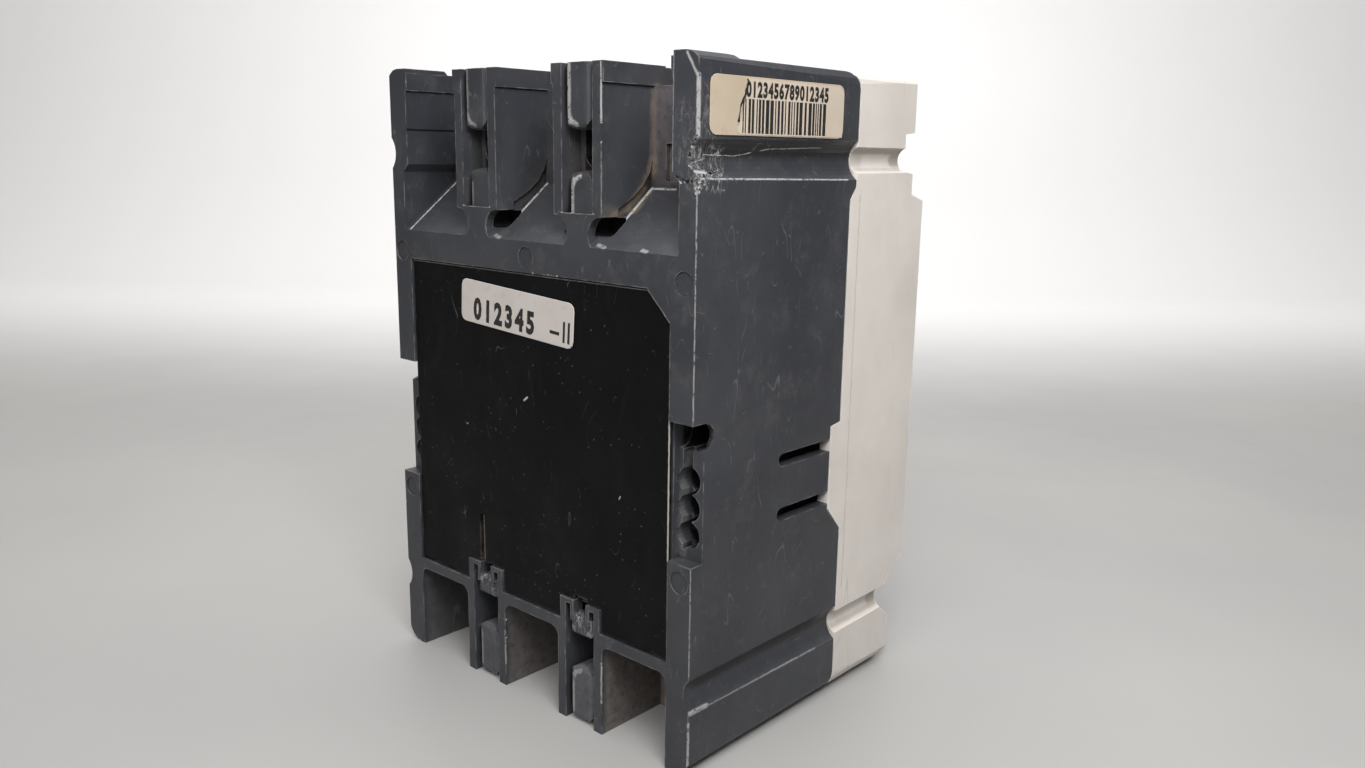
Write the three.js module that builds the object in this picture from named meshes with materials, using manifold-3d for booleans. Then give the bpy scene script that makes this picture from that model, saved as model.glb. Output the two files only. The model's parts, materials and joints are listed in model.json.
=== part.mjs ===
// Three-pole moulded-case circuit breaker, standing on its load end.
// X is the width, +Z runs from the load end up to the line end, and the cover
// with its toggle handle looks toward -Y. Lengths are millimetres.
// A "depth" is measured from the rear mounting face toward the cover.
import * as THREE from 'three';
import { mergeVertices } from 'three/addons/utils/BufferGeometryUtils.js';
import Module from 'manifold-3d';

const wasm = await Module();
wasm.setup();

// ---- Case ------------------------------------------------------------------
const HEIGHT = 152.4;
const HALF_WIDTH = 52.4;
const REAR_HALF_WIDTH = 51.6;
const FRONT_HALF_WIDTH = 51.9;
const FRONT = 85.7;
const END_FRONT = 80;
const GROOVE_FRONT = 75.8;
const SEAM_LINE = 54.4;
const SEAM_VENT = 48.4;
const SEAM_MIDDLE = 52.2;
const SEAM_LOAD = 53.8;
const SEAM_GAP = 0.35;
const CORNER_RADIUS = 4;
const FOOT_RADIUS = 6;
const GROOVE_DEPTH = 2.4;
const GROOVE_HEIGHTS = [19.2, 132];
const BASE_GROOVE_HALF = 4.4;
const COVER_GROOVE_HALF = 3;
const TOP_STEP = 1;
const COVER_DROP = 0.8;
const FRONT_WALL = 3;
const REAR_WALL = 4.6;
const GAP = 0.3;

// ---- Poles, terminals and fixing holes --------------------------------------
const POLE_PITCH = 34.925;
const POLES = [-POLE_PITCH, 0, POLE_PITCH];
const BARRIERS = [-POLE_PITCH / 2, POLE_PITCH / 2];
const CHAMBER_HALF_WIDTH = 14.4;
const TERMINAL_HALF_WIDTH = 12.4;
const CHAMBER_BOTTOM = 31;
const CHAMBER_TOP = 122.4;
const LOAD_CAVITY_TOP = 27;
const LINE_CAVITY_BOTTOM = 125.4;
const LINE_CAVITY_REAR = 18.8;
const LOAD_CAVITY_REAR = 23.2;
const FIXING_HEIGHTS = [19.05, 133.35];
const FIXING_RADIUS = 3.1;
const COVER_SCREW_HEIGHTS = [37, 108];
const LINE_SCREW_HEIGHT = 145;
const LOAD_SCREW_HEIGHT = 7.3;
const TERMINAL_SCREW_HOLE = 2.9;

// ---- Rear face ---------------------------------------------------------------
const CHANNEL_HALF_WIDTH = 7.5;
const TROUGH_HALF_WIDTH = 4.8;
const LINE_TROUGH_DEPTH = 5.8;
const LOAD_TROUGH_DEPTH = 13;
const POST_HALF_WIDTH = 4.1;
const POST_ROUNDING = 1.9;
const POCKET_OUTER = 45;
const POCKET_DEPTH = 15.6;
const POCKET_CUTBACK = 1.9;
const RAMP_FOOT = 113;
const RAMP_TOP = 125.4;
const SILL = 120;
const UNDERCUT = 4.2;
const BURROW = 6.7;
const COVE = 1;
const LIP_HEIGHT = 147.1;
const LIP = 0.6;
const LOAD_FRAME_HALF_WIDTH = 6.6;
const LOAD_FRAME_TOP = 30.7;
const LOAD_FRAME_WALL = 1.2;
const LOAD_POCKET_TOP = 22.3;
const LOAD_POCKET_DEPTH = 20;
const PLATE_HALF_WIDTH = 44.7;
const PLATE_BOTTOM = 25.3;
const PLATE_TOP = 105.5;
const PLATE_REAR = 0.5;
const PLATE_THICKNESS = 0.9;
const PLATE_CHAMFER = 6.3;
const NOTCH_DEPTH = 3.6;
const NOTCH_POCKET_DEPTH = 6.6;
const NOTCH_BAY_DEPTH = 14.4;
const NOTCH_WELL_DEPTH = 16.4;

// ---- Mechanism: axes are [depth, height] --------------------------------------
const HANDLE_PIVOT = [48.8, 76];
const HANDLE_OFF_TILT = THREE.MathUtils.degToRad(18);
const HANDLE_TIP_REACH = 52.5;
const HANDLE_TIP_RADIUS = 4;
const SKIRT_RADIUS = 33;
const SKIRT_HALF_ANGLE = THREE.MathUtils.degToRad(56);
const CROSSBAR = [22, 62];
const CROSSBAR_RADIUS = 5.4;
const ARM_OPEN_ANGLE = THREE.MathUtils.degToRad(44);
const ARM_REACH = 31.5;
const LINK_PIN_REACH = 9.4;
const CRADLE_PIVOT = [47, 87];
const CRADLE_PIN = [50, 82];
const UPPER_LINK = 12;
const LOWER_LINK = 18.8;
const TRIP_BAR = [38, 46];
const ARMATURE_PIVOT = [26.2, 48.2];
const BUTTON = [28, 39];
const STRAP_THICKNESS = 2.4;
const STRAP_HALF_WIDTH = 6;

// The handle's tip is the foremost point, and the origin is centred below the whole.
const OVERALL_DEPTH = HANDLE_PIVOT[0] + HANDLE_TIP_REACH * Math.cos(HANDLE_OFF_TILT) + HANDLE_TIP_RADIUS;
const REAR_Y = OVERALL_DEPTH / 2;

const FINISHES = {
  slate: { color: 0x3f4146, roughness: 0.55, metalness: 0 },
  beige: { color: 0xcbc3bb, roughness: 0.5, metalness: 0 },
  fibre: { color: 0x1d1d1e, roughness: 0.6, metalness: 0 },
  assetPaper: { color: 0xd8cec8, roughness: 0.6, metalness: 0 },
  barcodePaper: { color: 0xdecdaf, roughness: 0.7, metalness: 0 },
  black: { color: 0x18181a, roughness: 0.45, metalness: 0 },
  red: { color: 0xa3241c, roughness: 0.45, metalness: 0 },
  crossbar: { color: 0x5b2a20, roughness: 0.6, metalness: 0 },
  copper: { color: 0xb87350, roughness: 0.35, metalness: 1 },
  steel: { color: 0x9a9c9f, roughness: 0.35, metalness: 1 },
  brass: { color: 0xc2a35a, roughness: 0.35, metalness: 1 },
  chute: { color: 0x77736b, roughness: 0.6, metalness: 0.4 },
};

const breaker = new THREE.Group();

// ---- Small geometry helpers ----------------------------------------------------

function solid(geometry) {
  geometry.deleteAttribute('normal');
  geometry.deleteAttribute('uv');
  const merged = mergeVertices(geometry, 1e-4);
  return new wasm.Manifold(new wasm.Mesh({
    numProp: 3,
    vertProperties: merged.attributes.position.array,
    triVerts: new Uint32Array(merged.index.array),
  }));
}

function piece(name, body, finish) {
  const mesh = body.getMesh();
  const geometry = new THREE.BufferGeometry();
  geometry.setAttribute('position', new THREE.BufferAttribute(mesh.vertProperties, 3));
  geometry.setIndex(new THREE.BufferAttribute(mesh.triVerts, 1));
  geometry.computeVertexNormals();
  const result = new THREE.Mesh(geometry, new THREE.MeshStandardMaterial(FINISHES[finish]));
  result.name = name;
  breaker.add(result);
}

function extrude(points, length) {
  const shape = new THREE.Shape(points.map(([u, v]) => new THREE.Vector2(u, v)));
  return new THREE.ExtrudeGeometry(shape, { depth: length, bevelEnabled: false, curveSegments: 1 });
}

const ACROSS = new THREE.Matrix4().makeBasis(
  new THREE.Vector3(0, -1, 0), new THREE.Vector3(0, 0, 1), new THREE.Vector3(-1, 0, 0));
const UPRIGHT = new THREE.Matrix4().makeBasis(
  new THREE.Vector3(1, 0, 0), new THREE.Vector3(0, -1, 0), new THREE.Vector3(0, 0, -1));

// Outline in (x, height), extruded from depth d0 to d1.
function prismDeep(points, d0, d1) {
  return solid(extrude(points, d1 - d0).rotateX(Math.PI / 2).translate(0, REAR_Y - d0, 0));
}

// Outline in (depth, height), extruded from x0 to x1.
function prismWide(points, x0, x1) {
  return solid(extrude(points, x1 - x0).applyMatrix4(ACROSS).translate(x1, REAR_Y, 0));
}

// Outline in (x, depth), extruded from z0 to z1.
function prismTall(points, z0, z1) {
  return solid(extrude(points, z1 - z0).applyMatrix4(UPRIGHT).translate(0, REAR_Y, z1));
}

function box(x0, x1, d0, d1, z0, z1) {
  const geometry = new THREE.BoxGeometry(x1 - x0, d1 - d0, z1 - z0);
  return solid(geometry.translate((x0 + x1) / 2, REAR_Y - (d0 + d1) / 2, (z0 + z1) / 2));
}

function arc(u, v, radius, from, to, steps) {
  return Array.from({ length: steps + 1 }, (_, i) => {
    const angle = THREE.MathUtils.degToRad(from + (to - from) * i / steps);
    return [u + radius * Math.cos(angle), v + radius * Math.sin(angle)];
  });
}

function circle(u, v, radius, sides) {
  return arc(u, v, radius, 180 / sides, 360 + 180 / sides, sides).slice(0, sides);
}

function roundedRect(u0, v0, u1, v1, radius, steps = 4) {
  return [
    ...arc(u1 - radius, v0 + radius, radius, -90, 0, steps),
    ...arc(u1 - radius, v1 - radius, radius, 0, 90, steps),
    ...arc(u0 + radius, v1 - radius, radius, 90, 180, steps),
    ...arc(u0 + radius, v0 + radius, radius, 180, 270, steps),
  ];
}

// Flat bar with round ends between two points of a plane.
function barOutline([u0, v0], [u1, v1], radius0, radius1 = radius0, steps = 5) {
  const angle = THREE.MathUtils.radToDeg(Math.atan2(v1 - v0, u1 - u0));
  return [
    ...arc(u0, v0, radius0, angle + 90, angle + 270, steps),
    ...arc(u1, v1, radius1, angle - 90, angle + 90, steps),
  ];
}

// Outline of a flat strip of even thickness that follows a bent centre line.
function stripOutline(centre, thickness) {
  const offset = (side) => centre.map(([u, v], i) => {
    const before = centre[Math.max(i - 1, 0)];
    const after = centre[Math.min(i + 1, centre.length - 1)];
    const inward = new THREE.Vector2(u - before[0], v - before[1]).normalize();
    const outward = new THREE.Vector2(after[0] - u, after[1] - v).normalize();
    const along = inward.add(outward).normalize();
    const bend = Math.max(new THREE.Vector2(after[0] - u, after[1] - v).normalize().dot(along), 0);
    const reach = side * thickness / 2 / (i > 0 && i < centre.length - 1 ? bend : 1);
    return [u + along.y * reach, v - along.x * reach];
  });
  return [...offset(1), ...offset(-1).reverse()];
}

function rodWide([d, z], radius, x0, x1, sides = 12) {
  return prismWide(circle(d, z, radius, sides), x0, x1);
}

function rodDeep(x, z, radius, d0, d1, sides = 16) {
  return prismDeep(circle(x, z, radius, sides), d0, d1);
}

function joined(parts) {
  return parts.reduce((whole, part) => whole.add(part));
}

function without(body, cuts) {
  return cuts.reduce((rest, cut) => rest.subtract(cut), body);
}

// ---- Case outline shared by base and cover ---------------------------------------

function sideGrooves(halfHeight) {
  const radius = (halfHeight ** 2 + GROOVE_DEPTH ** 2) / (2 * GROOVE_DEPTH);
  const centre = HALF_WIDTH - GROOVE_DEPTH + radius;
  return GROOVE_HEIGHTS.flatMap((z) => [-1, 1].map((side) =>
    rodDeep(side * centre, z, radius, -1, FRONT + 1, 32)));
}

function caseOutline(d0, d1, grooveHalf) {
  const lineEnd = roundedRect(-HALF_WIDTH, -HEIGHT, HALF_WIDTH, HEIGHT, CORNER_RADIUS);
  const loadEnd = roundedRect(-HALF_WIDTH, 0, HALF_WIDTH, 2 * HEIGHT, FOOT_RADIUS, 5);
  return without(prismDeep(lineEnd, d0, d1).intersect(prismDeep(loadEnd, d0, d1)), sideGrooves(grooveHalf));
}

// The parting line in (depth, height), from the load end up to the rounded line end.
function seam(shift) {
  const top = HEIGHT - TOP_STEP;
  return [
    [SEAM_LOAD, -1], [SEAM_LOAD, 43.8], [SEAM_VENT, 49.9], [SEAM_VENT, 70.5],
    [SEAM_MIDDLE, 71.1], [SEAM_MIDDLE, 123.2], [SEAM_LINE, 126],
    ...arc(SEAM_LINE - CORNER_RADIUS, top - CORNER_RADIUS, CORNER_RADIUS, 0, 90, 4),
  ].map(([d, z]) => [d + shift, z]);
}

// ---- Base --------------------------------------------------------------------------

function baseShell() {
  const stepDepth = 12;
  const side = [
    [-1, -1], ...seam(0), [stepDepth + TOP_STEP, HEIGHT - TOP_STEP], [stepDepth, HEIGHT],
    [stepDepth, HEIGHT + 1], [-1, HEIGHT + 1],
  ];
  const taper = [
    [-REAR_HALF_WIDTH, 0], [REAR_HALF_WIDTH, 0],
    [HALF_WIDTH, SEAM_LINE + 1], [-HALF_WIDTH, SEAM_LINE + 1],
  ];
  return caseOutline(0, SEAM_LINE + 1, BASE_GROOVE_HALF)
    .intersect(prismTall(taper, -1, HEIGHT + 1))
    .intersect(prismWide(side, -HALF_WIDTH - 1, HALF_WIDTH + 1));
}

function poleCavities() {
  const open = SEAM_LINE + 2;
  const chamber = [
    [REAR_WALL, CHAMBER_BOTTOM], [open, CHAMBER_BOTTOM], [open, CHAMBER_TOP],
    [21.5, CHAMBER_TOP], [REAR_WALL, 108],
  ];
  return POLES.flatMap((x) => [
    prismWide(chamber, x - CHAMBER_HALF_WIDTH, x + CHAMBER_HALF_WIDTH),
    box(x - TERMINAL_HALF_WIDTH, x + TERMINAL_HALF_WIDTH, LINE_CAVITY_REAR, open,
      LINE_CAVITY_BOTTOM, HEIGHT + 1),
    box(x - TERMINAL_HALF_WIDTH, x + TERMINAL_HALF_WIDTH, LOAD_CAVITY_REAR, open,
      -1, LOAD_CAVITY_TOP),
    box(x - 6.5, x + 6.5, 33.6, 37, CHAMBER_TOP - 1, LINE_CAVITY_BOTTOM + 1),
    box(x - 6.5, x + 6.5, 33.6, 37, LOAD_CAVITY_TOP - 1, CHAMBER_BOTTOM + 1),
  ]);
}

// Everything above the sloping pocket floor, between two widths.
function aboveRamp(x0, x1) {
  const slope = (RAMP_TOP - RAMP_FOOT) / POCKET_DEPTH;
  return prismWide([
    [-1, RAMP_FOOT - slope], [POCKET_DEPTH, RAMP_TOP], [POCKET_DEPTH, HEIGHT + 1], [-1, HEIGHT + 1],
  ], x0, x1);
}

// One rear pocket of the line end: open to the rear and the top, narrower at its
// lip, with a sloping floor, a shallow undercut below the channel walls, a recess in
// its front wall and a gap over that wall into the terminal cavity.
function linePocket(x0, x1, foot0, foot1) {
  const lips = [[x0 - 1, x0 + LIP], [x1 - LIP, x1 + 1]].map(([left, right]) =>
    box(left, right, -2, POCKET_DEPTH + 1, LIP_HEIGHT, HEIGHT + 2));
  const foot = prismDeep(roundedRect(foot0, RAMP_FOOT - 1.4, foot1, SILL - 0.5, 3.8), -1, 6)
    .intersect(aboveRamp(foot0, foot1));
  const recess = box(x0 + 4, x1 - 4, POCKET_DEPTH - 1, POCKET_DEPTH + 1.2, 127, 135);
  const gap = box(x0 + LIP, x1 - LIP, POCKET_DEPTH - 1, LINE_CAVITY_REAR + 1, LIP_HEIGHT, HEIGHT + 1);
  return joined([without(aboveRamp(x0, x1), lips), foot, recess, gap]);
}

// Blind hollows that run on from the undercuts, inside the foot of each channel.
function burrows() {
  return BARRIERS.flatMap((x) => [-1, 1].map((side) => {
    const [inner, outer] = [CHANNEL_HALF_WIDTH - BURROW, CHANNEL_HALF_WIDTH + 0.5];
    return prismDeep(side > 0
      ? roundedRect(x + inner, 115.2, x + outer, SILL - 0.8, 1.2)
      : roundedRect(x - outer, 115.2, x - inner, SILL - 0.8, 1.2), 2.2, 9.5);
  }));
}

// Coves in the channel walls, between the sloping floor and a rising curve.
function channelCoves() {
  const floor = (d) => RAMP_FOOT + (RAMP_TOP - RAMP_FOOT) * d / POCKET_DEPTH;
  const start = 5;
  const outline = [
    [start, floor(start)], [POCKET_DEPTH, RAMP_TOP], [POCKET_DEPTH, 132],
    [14.8, 128.9], [12.8, 126.1], [9.4, 123.5], [start, 121.2],
  ];
  return BARRIERS.flatMap((x) => [-1, 1].map((side) => {
    const wall = x + side * CHANNEL_HALF_WIDTH;
    return prismWide(outline, side > 0 ? wall - COVE : wall - 1, side > 0 ? wall + 1 : wall + COVE);
  }));
}

// Below the side groove the outer wall is thinner, so the outer pockets widen.
function pocketCutback(side) {
  const outline = [
    [POCKET_OUTER - 1, RAMP_FOOT - 2], [POCKET_OUTER + POCKET_CUTBACK, RAMP_FOOT - 2],
    [POCKET_OUTER + POCKET_CUTBACK, 127.4], [POCKET_OUTER, 129.3], [POCKET_OUTER - 1, 129.3],
  ].map(([x, z]) => [side * x, z]);
  return prismDeep(side > 0 ? outline : outline.reverse(), -1, POCKET_DEPTH)
    .intersect(aboveRamp(-HALF_WIDTH, HALF_WIDTH));
}

function linePockets() {
  const [, right] = BARRIERS;
  const inner = right - CHANNEL_HALF_WIDTH;
  const outer = right + CHANNEL_HALF_WIDTH;
  return [
    linePocket(-inner, inner, -inner - UNDERCUT, inner + UNDERCUT),
    linePocket(outer, POCKET_OUTER, outer - UNDERCUT, POCKET_OUTER),
    linePocket(-POCKET_OUTER, -outer, -POCKET_OUTER, UNDERCUT - outer),
    pocketCutback(1), pocketCutback(-1), ...channelCoves(), ...burrows(),
    box(-POCKET_OUTER, POCKET_OUTER, -1, LINE_CAVITY_REAR, HEIGHT - TOP_STEP, HEIGHT + 1),
  ];
}

// Post that fills most of a trough, with rounded ends and a rounded nose at a depth.
function post(x, nose, z0, z1) {
  const [x0, x1] = [x - POST_HALF_WIDTH, x + POST_HALF_WIDTH];
  const corner = Math.min(2 * POST_ROUNDING, (z1 - z0) / 2 - 0.1);
  const face = prismDeep(roundedRect(x0, z0, x1, z1, corner), nose, LOAD_TROUGH_DEPTH);
  const plan = prismTall(roundedRect(x0, nose, x1, nose + 20, POST_ROUNDING), z0, z1);
  const side = prismWide(roundedRect(nose, z0, nose + 20, z1, POST_ROUNDING), x0, x1);
  return face.intersect(plan).intersect(side);
}

function lineTrough(x) {
  const trough = box(x - TROUGH_HALF_WIDTH, x + TROUGH_HALF_WIDTH, -1, LINE_TROUGH_DEPTH, SILL, HEIGHT + 1);
  const slot = prismDeep(roundedRect(x - 3.4, 129.6, x + 3.4, 140, 3.3), LINE_TROUGH_DEPTH - 1, 18);
  return without(trough, [post(x, 1, SILL - 6, 129), post(x, 0.1, 137.5, HEIGHT + 8)]).add(slot);
}

// The load end's trough: a low post, a short tongue hung from the frame on two
// thin returns, and a slot between them that opens the frame's top.
function loadTrough(x) {
  const top = LOAD_FRAME_TOP - LOAD_FRAME_WALL;
  const tongueTop = 27.6;
  const slotHalf = 2.1;
  const trough = box(x - TROUGH_HALF_WIDTH, x + TROUGH_HALF_WIDTH, -1, LOAD_TROUGH_DEPTH, -1, top);
  const returns = [-slotHalf - 1, slotHalf].map((u) => box(x + u, x + u + 1, 0, 3, tongueTop - 2, top + 1));
  const slot = box(x - slotHalf, x + slotHalf, -1, 3, tongueTop, LOAD_FRAME_TOP + GAP);
  return without(trough, [post(x, 0.4, 0.3, 14.5), post(x, 0.4, 21.7, tongueTop), ...returns]).add(slot);
}

function loadPockets() {
  const [, right] = BARRIERS;
  const inner = right - CHANNEL_HALF_WIDTH;
  const outer = right + CHANNEL_HALF_WIDTH;
  const spans = [[-inner, inner], [outer, POCKET_OUTER], [-POCKET_OUTER, -outer]];
  return spans.map(([x0, x1]) =>
    prismDeep(roundedRect(x0, -8, x1, LOAD_POCKET_TOP, 2.4), -1, LOAD_POCKET_DEPTH));
}

// The plate's outline, grown by a margin all round for its seat in the base.
function plateOutline(margin) {
  const side = PLATE_HALF_WIDTH + margin;
  const top = PLATE_TOP + margin;
  const bottom = PLATE_BOTTOM - margin;
  const chamfer = PLATE_CHAMFER + margin * 0.6;
  return [[-side, bottom], [side, bottom], [side, top], [chamfer - side, top], [-side, top - chamfer]];
}

function channelClearance(margin) {
  const half = LOAD_FRAME_HALF_WIDTH + GAP - margin;
  return BARRIERS.map((x) => box(x - half, x + half, -2, 4, 20, LOAD_FRAME_TOP + GAP - margin));
}

function plateSeat() {
  return without(prismDeep(plateOutline(GAP), -1, PLATE_REAR + PLATE_THICKNESS + GAP), channelClearance(GAP));
}

// Notch at a rear side edge: a shallow cut with a round lobe at its top, and a
// deeper pocket whose outer edge is scalloped by three round bays.
function sideNotch(side) {
  const span = (x0, x1) => (side > 0 ? [x0, x1] : [-x1, -x0]);
  const seat = PLATE_HALF_WIDTH + GAP;
  const outside = HALF_WIDTH + 1;
  const cut = box(...span(seat, outside), -1, NOTCH_DEPTH, 48.4, 78.9);
  const lobe = prismWide(barOutline([0, 75.9], [3.8, 75.9], 3), ...span(seat, outside));
  const pocket = box(...span(seat + 1, 47), NOTCH_DEPTH - 1, NOTCH_POCKET_DEPTH, 50.4, 75);
  const trench = box(...span(46.8, 48.6), NOTCH_DEPTH - 1, NOTCH_BAY_DEPTH, 51, 74);
  const well = box(...span(seat + 0.7, 50.4), NOTCH_DEPTH - 1, NOTCH_WELL_DEPTH, 72.6, 78.4);
  const bays = [54, 60, 66].map((z) =>
    rodDeep(side * 47.8, z, 3, NOTCH_DEPTH - 1, NOTCH_BAY_DEPTH, 20));
  return joined([cut, lobe, pocket, trench, well, ...bays]);
}

// Solid behind each notch pocket and its well, inside the outer poles.
function notchBacking() {
  return [[-50, -43.6], [43.6, 50]].flatMap(([x0, x1]) => [
    box(x0, x1, REAR_WALL - 1, NOTCH_BAY_DEPTH + 1.6, 45, 81),
    box(x0, x1, REAR_WALL - 1, NOTCH_WELL_DEPTH + 1.6, 71, 81),
  ]);
}

function ventSlots() {
  const slots = [[64.4, 67.4], [51.5, 54.6]];
  return slots.flatMap(([z0, z1]) => [-1, 1].map((side) => {
    const radius = (z1 - z0) / 2;
    const outline = barOutline([28.8 + radius, (z0 + z1) / 2], [SEAM_LINE + 4, (z0 + z1) / 2], radius);
    return prismWide(outline, side > 0 ? 48 : -54, side > 0 ? 54 : -48);
  }));
}

function shaftPassages() {
  const open = SEAM_LINE + 2;
  return BARRIERS.flatMap((x) => [
    prismWide(barOutline(CROSSBAR, [open, CROSSBAR[1]], 6.4), x - 4, x + 4),
    prismWide(barOutline(TRIP_BAR, [open, TRIP_BAR[1]], 4), x - 4, x + 4),
  ]);
}

function ejectorMarks() {
  const places = [[0, 109.2], [-48.6, 107.6], [48.6, 107.6], [-48.4, 44.4], [48.4, 44.4]];
  return places.map(([x, z]) => rodDeep(x, z, 2.5, -1, 0.3, 24));
}

function caseBase() {
  const hollow = without(baseShell(), poleCavities());
  const bosses = BARRIERS.flatMap((x) => COVER_SCREW_HEIGHTS.map((z) => rodDeep(x, z, 4.5, 4, SEAM_MIDDLE - 1)));
  const bores = BARRIERS.flatMap((x) => [
    ...COVER_SCREW_HEIGHTS.map((z) => rodDeep(x, z, 2.1, 42, SEAM_LINE + 2)),
    ...FIXING_HEIGHTS.map((z) => rodDeep(x, z, FIXING_RADIUS, -1, SEAM_LINE + 2)),
  ]);
  return without(joined([hollow, ...bosses, ...notchBacking()]), [
    ...bores, ...shaftPassages(), ...linePockets(), ...loadPockets(),
    ...BARRIERS.flatMap((x) => [lineTrough(x), loadTrough(x)]),
    plateSeat(), sideNotch(1), sideNotch(-1), ...ventSlots(), ...ejectorMarks(),
  ]);
}

// ---- Cover ---------------------------------------------------------------------------

function coverShell() {
  const bottom = GAP;
  const top = HEIGHT - TOP_STEP;
  const front = [
    [END_FRONT, top], [END_FRONT, 138.6], [GROOVE_FRONT, 138.2], [GROOVE_FRONT, 129.4],
    [END_FRONT, 128.8], [END_FRONT, 123.8], [FRONT, 122.2], [FRONT, 28.6],
    [80.3, 25.8], [77.5, 22], [GROOVE_FRONT, 21], [GROOVE_FRONT, 16.3], [78.6, 14],
    [END_FRONT, 12.9], [END_FRONT, 3.4], ...arc(END_FRONT - 3, 3.3, 3, 0, -90, 3).slice(1),
  ];
  const rear = seam(SEAM_GAP).map(([d, z]) => [d, THREE.MathUtils.clamp(z, bottom, top)]);
  const taper = [
    [-HALF_WIDTH, SEAM_VENT], [HALF_WIDTH, SEAM_VENT],
    [FRONT_HALF_WIDTH, FRONT + 1], [-FRONT_HALF_WIDTH, FRONT + 1],
  ];
  return caseOutline(SEAM_VENT, FRONT + 1, COVER_GROOVE_HALF)
    .intersect(prismTall(taper, -1, HEIGHT + 1))
    .intersect(prismWide([...rear, ...front], -HALF_WIDTH - 1, HALF_WIDTH + 1))
    .intersect(box(-HALF_WIDTH - 1, HALF_WIDTH + 1, SEAM_VENT, FRONT + 1, bottom, top - COVER_DROP));
}

function coverCavities() {
  const rear = SEAM_VENT - 2;
  const chamber = [
    [rear, CHAMBER_BOTTOM], [FRONT - FRONT_WALL, CHAMBER_BOTTOM],
    [FRONT - FRONT_WALL, 120.8], [END_FRONT - FRONT_WALL, CHAMBER_TOP], [rear, CHAMBER_TOP],
  ];
  const lineEnd = [
    [rear, LINE_CAVITY_BOTTOM], [GROOVE_FRONT - FRONT_WALL, LINE_CAVITY_BOTTOM],
    [GROOVE_FRONT - FRONT_WALL, 140], [END_FRONT - FRONT_WALL, 141.5],
    [END_FRONT - FRONT_WALL, HEIGHT - 4], [rear, HEIGHT - 4],
  ];
  const loadEnd = [
    [rear, 3.4], [END_FRONT - FRONT_WALL, 3.4], [END_FRONT - FRONT_WALL, 11],
    [GROOVE_FRONT - FRONT_WALL, 14], [GROOVE_FRONT - FRONT_WALL, LOAD_CAVITY_TOP],
    [rear, LOAD_CAVITY_TOP],
  ];
  return POLES.flatMap((x) => [
    prismWide(chamber, x - CHAMBER_HALF_WIDTH, x + CHAMBER_HALF_WIDTH),
    prismWide(lineEnd, x - TERMINAL_HALF_WIDTH, x + TERMINAL_HALF_WIDTH),
    prismWide(loadEnd, x - TERMINAL_HALF_WIDTH, x + TERMINAL_HALF_WIDTH),
    box(x - 9, x + 9, rear, 69, HEIGHT - 5, HEIGHT + 1),
    box(x - 9, x + 9, rear, 69, -1, 4),
    rodDeep(x, LINE_SCREW_HEIGHT, 4.4, 74, FRONT, 20),
    rodDeep(x, LOAD_SCREW_HEIGHT, 4.2, 74, FRONT, 20),
  ]);
}

function coverFrontDetails() {
  const [pivotDepth, slotHeight] = HANDLE_PIVOT;
  const slot = roundedRect(-10.5, slotHeight - 21, 10.5, slotHeight + 21, 2);
  const escutcheon = roundedRect(-14, slotHeight - 24, 14, slotHeight + 24, 3);
  const panels = [-1, 1].map((side) => {
    const inner = side * 22.5;
    const outer = side * 47;
    return prismDeep(roundedRect(Math.min(inner, outer), 56, Math.max(inner, outer), 116, 2),
      FRONT - 0.5, FRONT + 1);
  });
  return [
    prismDeep(slot, pivotDepth + SKIRT_RADIUS, FRONT + 1),
    prismDeep(escutcheon, FRONT - 0.8, FRONT + 1),
    rodDeep(...BUTTON, 3.5, FRONT - FRONT_WALL - 1, FRONT + 1, 20),
    rodDeep(...BUTTON, 5.6, FRONT - 0.8, FRONT + 1, 24),
    ...panels,
  ];
}

function caseCover() {
  const hollow = without(coverShell(), coverCavities());
  const bosses = BARRIERS.flatMap((x) => COVER_SCREW_HEIGHTS.map((z) =>
    rodDeep(x, z, 5, SEAM_LINE + 1, FRONT - 1)));
  const bores = BARRIERS.flatMap((x) => [
    ...COVER_SCREW_HEIGHTS.flatMap((z) => [
      rodDeep(x, z, 2.2, SEAM_VENT - 2, FRONT + 1),
      rodDeep(x, z, 3.9, FRONT - 4, FRONT + 1, 20),
    ]),
    ...FIXING_HEIGHTS.map((z) => rodDeep(x, z, FIXING_RADIUS, SEAM_VENT - 2, FRONT + 1)),
  ]);
  return without(joined([hollow, ...bosses]), [...bores, ...coverFrontDetails()]);
}

function coverScrew(x, z) {
  const head = rodDeep(x, z, 3.5, FRONT - 3.8, FRONT - 0.8, 20);
  const shank = rodDeep(x, z, 1.7, 45, FRONT - 3.8, 12);
  const slot = box(x - 4, x + 4, FRONT - 1.9, FRONT, z - 0.5, z + 0.5);
  return without(head.add(shank), [slot]);
}

// ---- Rear plate and labels --------------------------------------------------------------

function rearPlate() {
  const [left, right] = BARRIERS;
  const plate = prismDeep(plateOutline(0), PLATE_REAR, PLATE_REAR + PLATE_THICKNESS);
  const slit = box(right + 0.6, right + 2.2, -1, 3, 28, 43.5);
  const nick = box(left - 2.1, left + 2.1, -1, 3, 28, 32);
  return without(plate, [...channelClearance(0), slit, nick]);
}

function assetLabel() {
  const tilt = THREE.MathUtils.degToRad(3.5);
  const outline = roundedRect(-20.2, -5.2, 20.2, 5.2, 1.8, 3).map(([u, v]) => [
    4.2 + u * Math.cos(tilt) - v * Math.sin(tilt), 96.3 + u * Math.sin(tilt) + v * Math.cos(tilt),
  ]);
  return prismDeep(outline, PLATE_REAR - 0.4, PLATE_REAR - 0.15);
}

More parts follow.
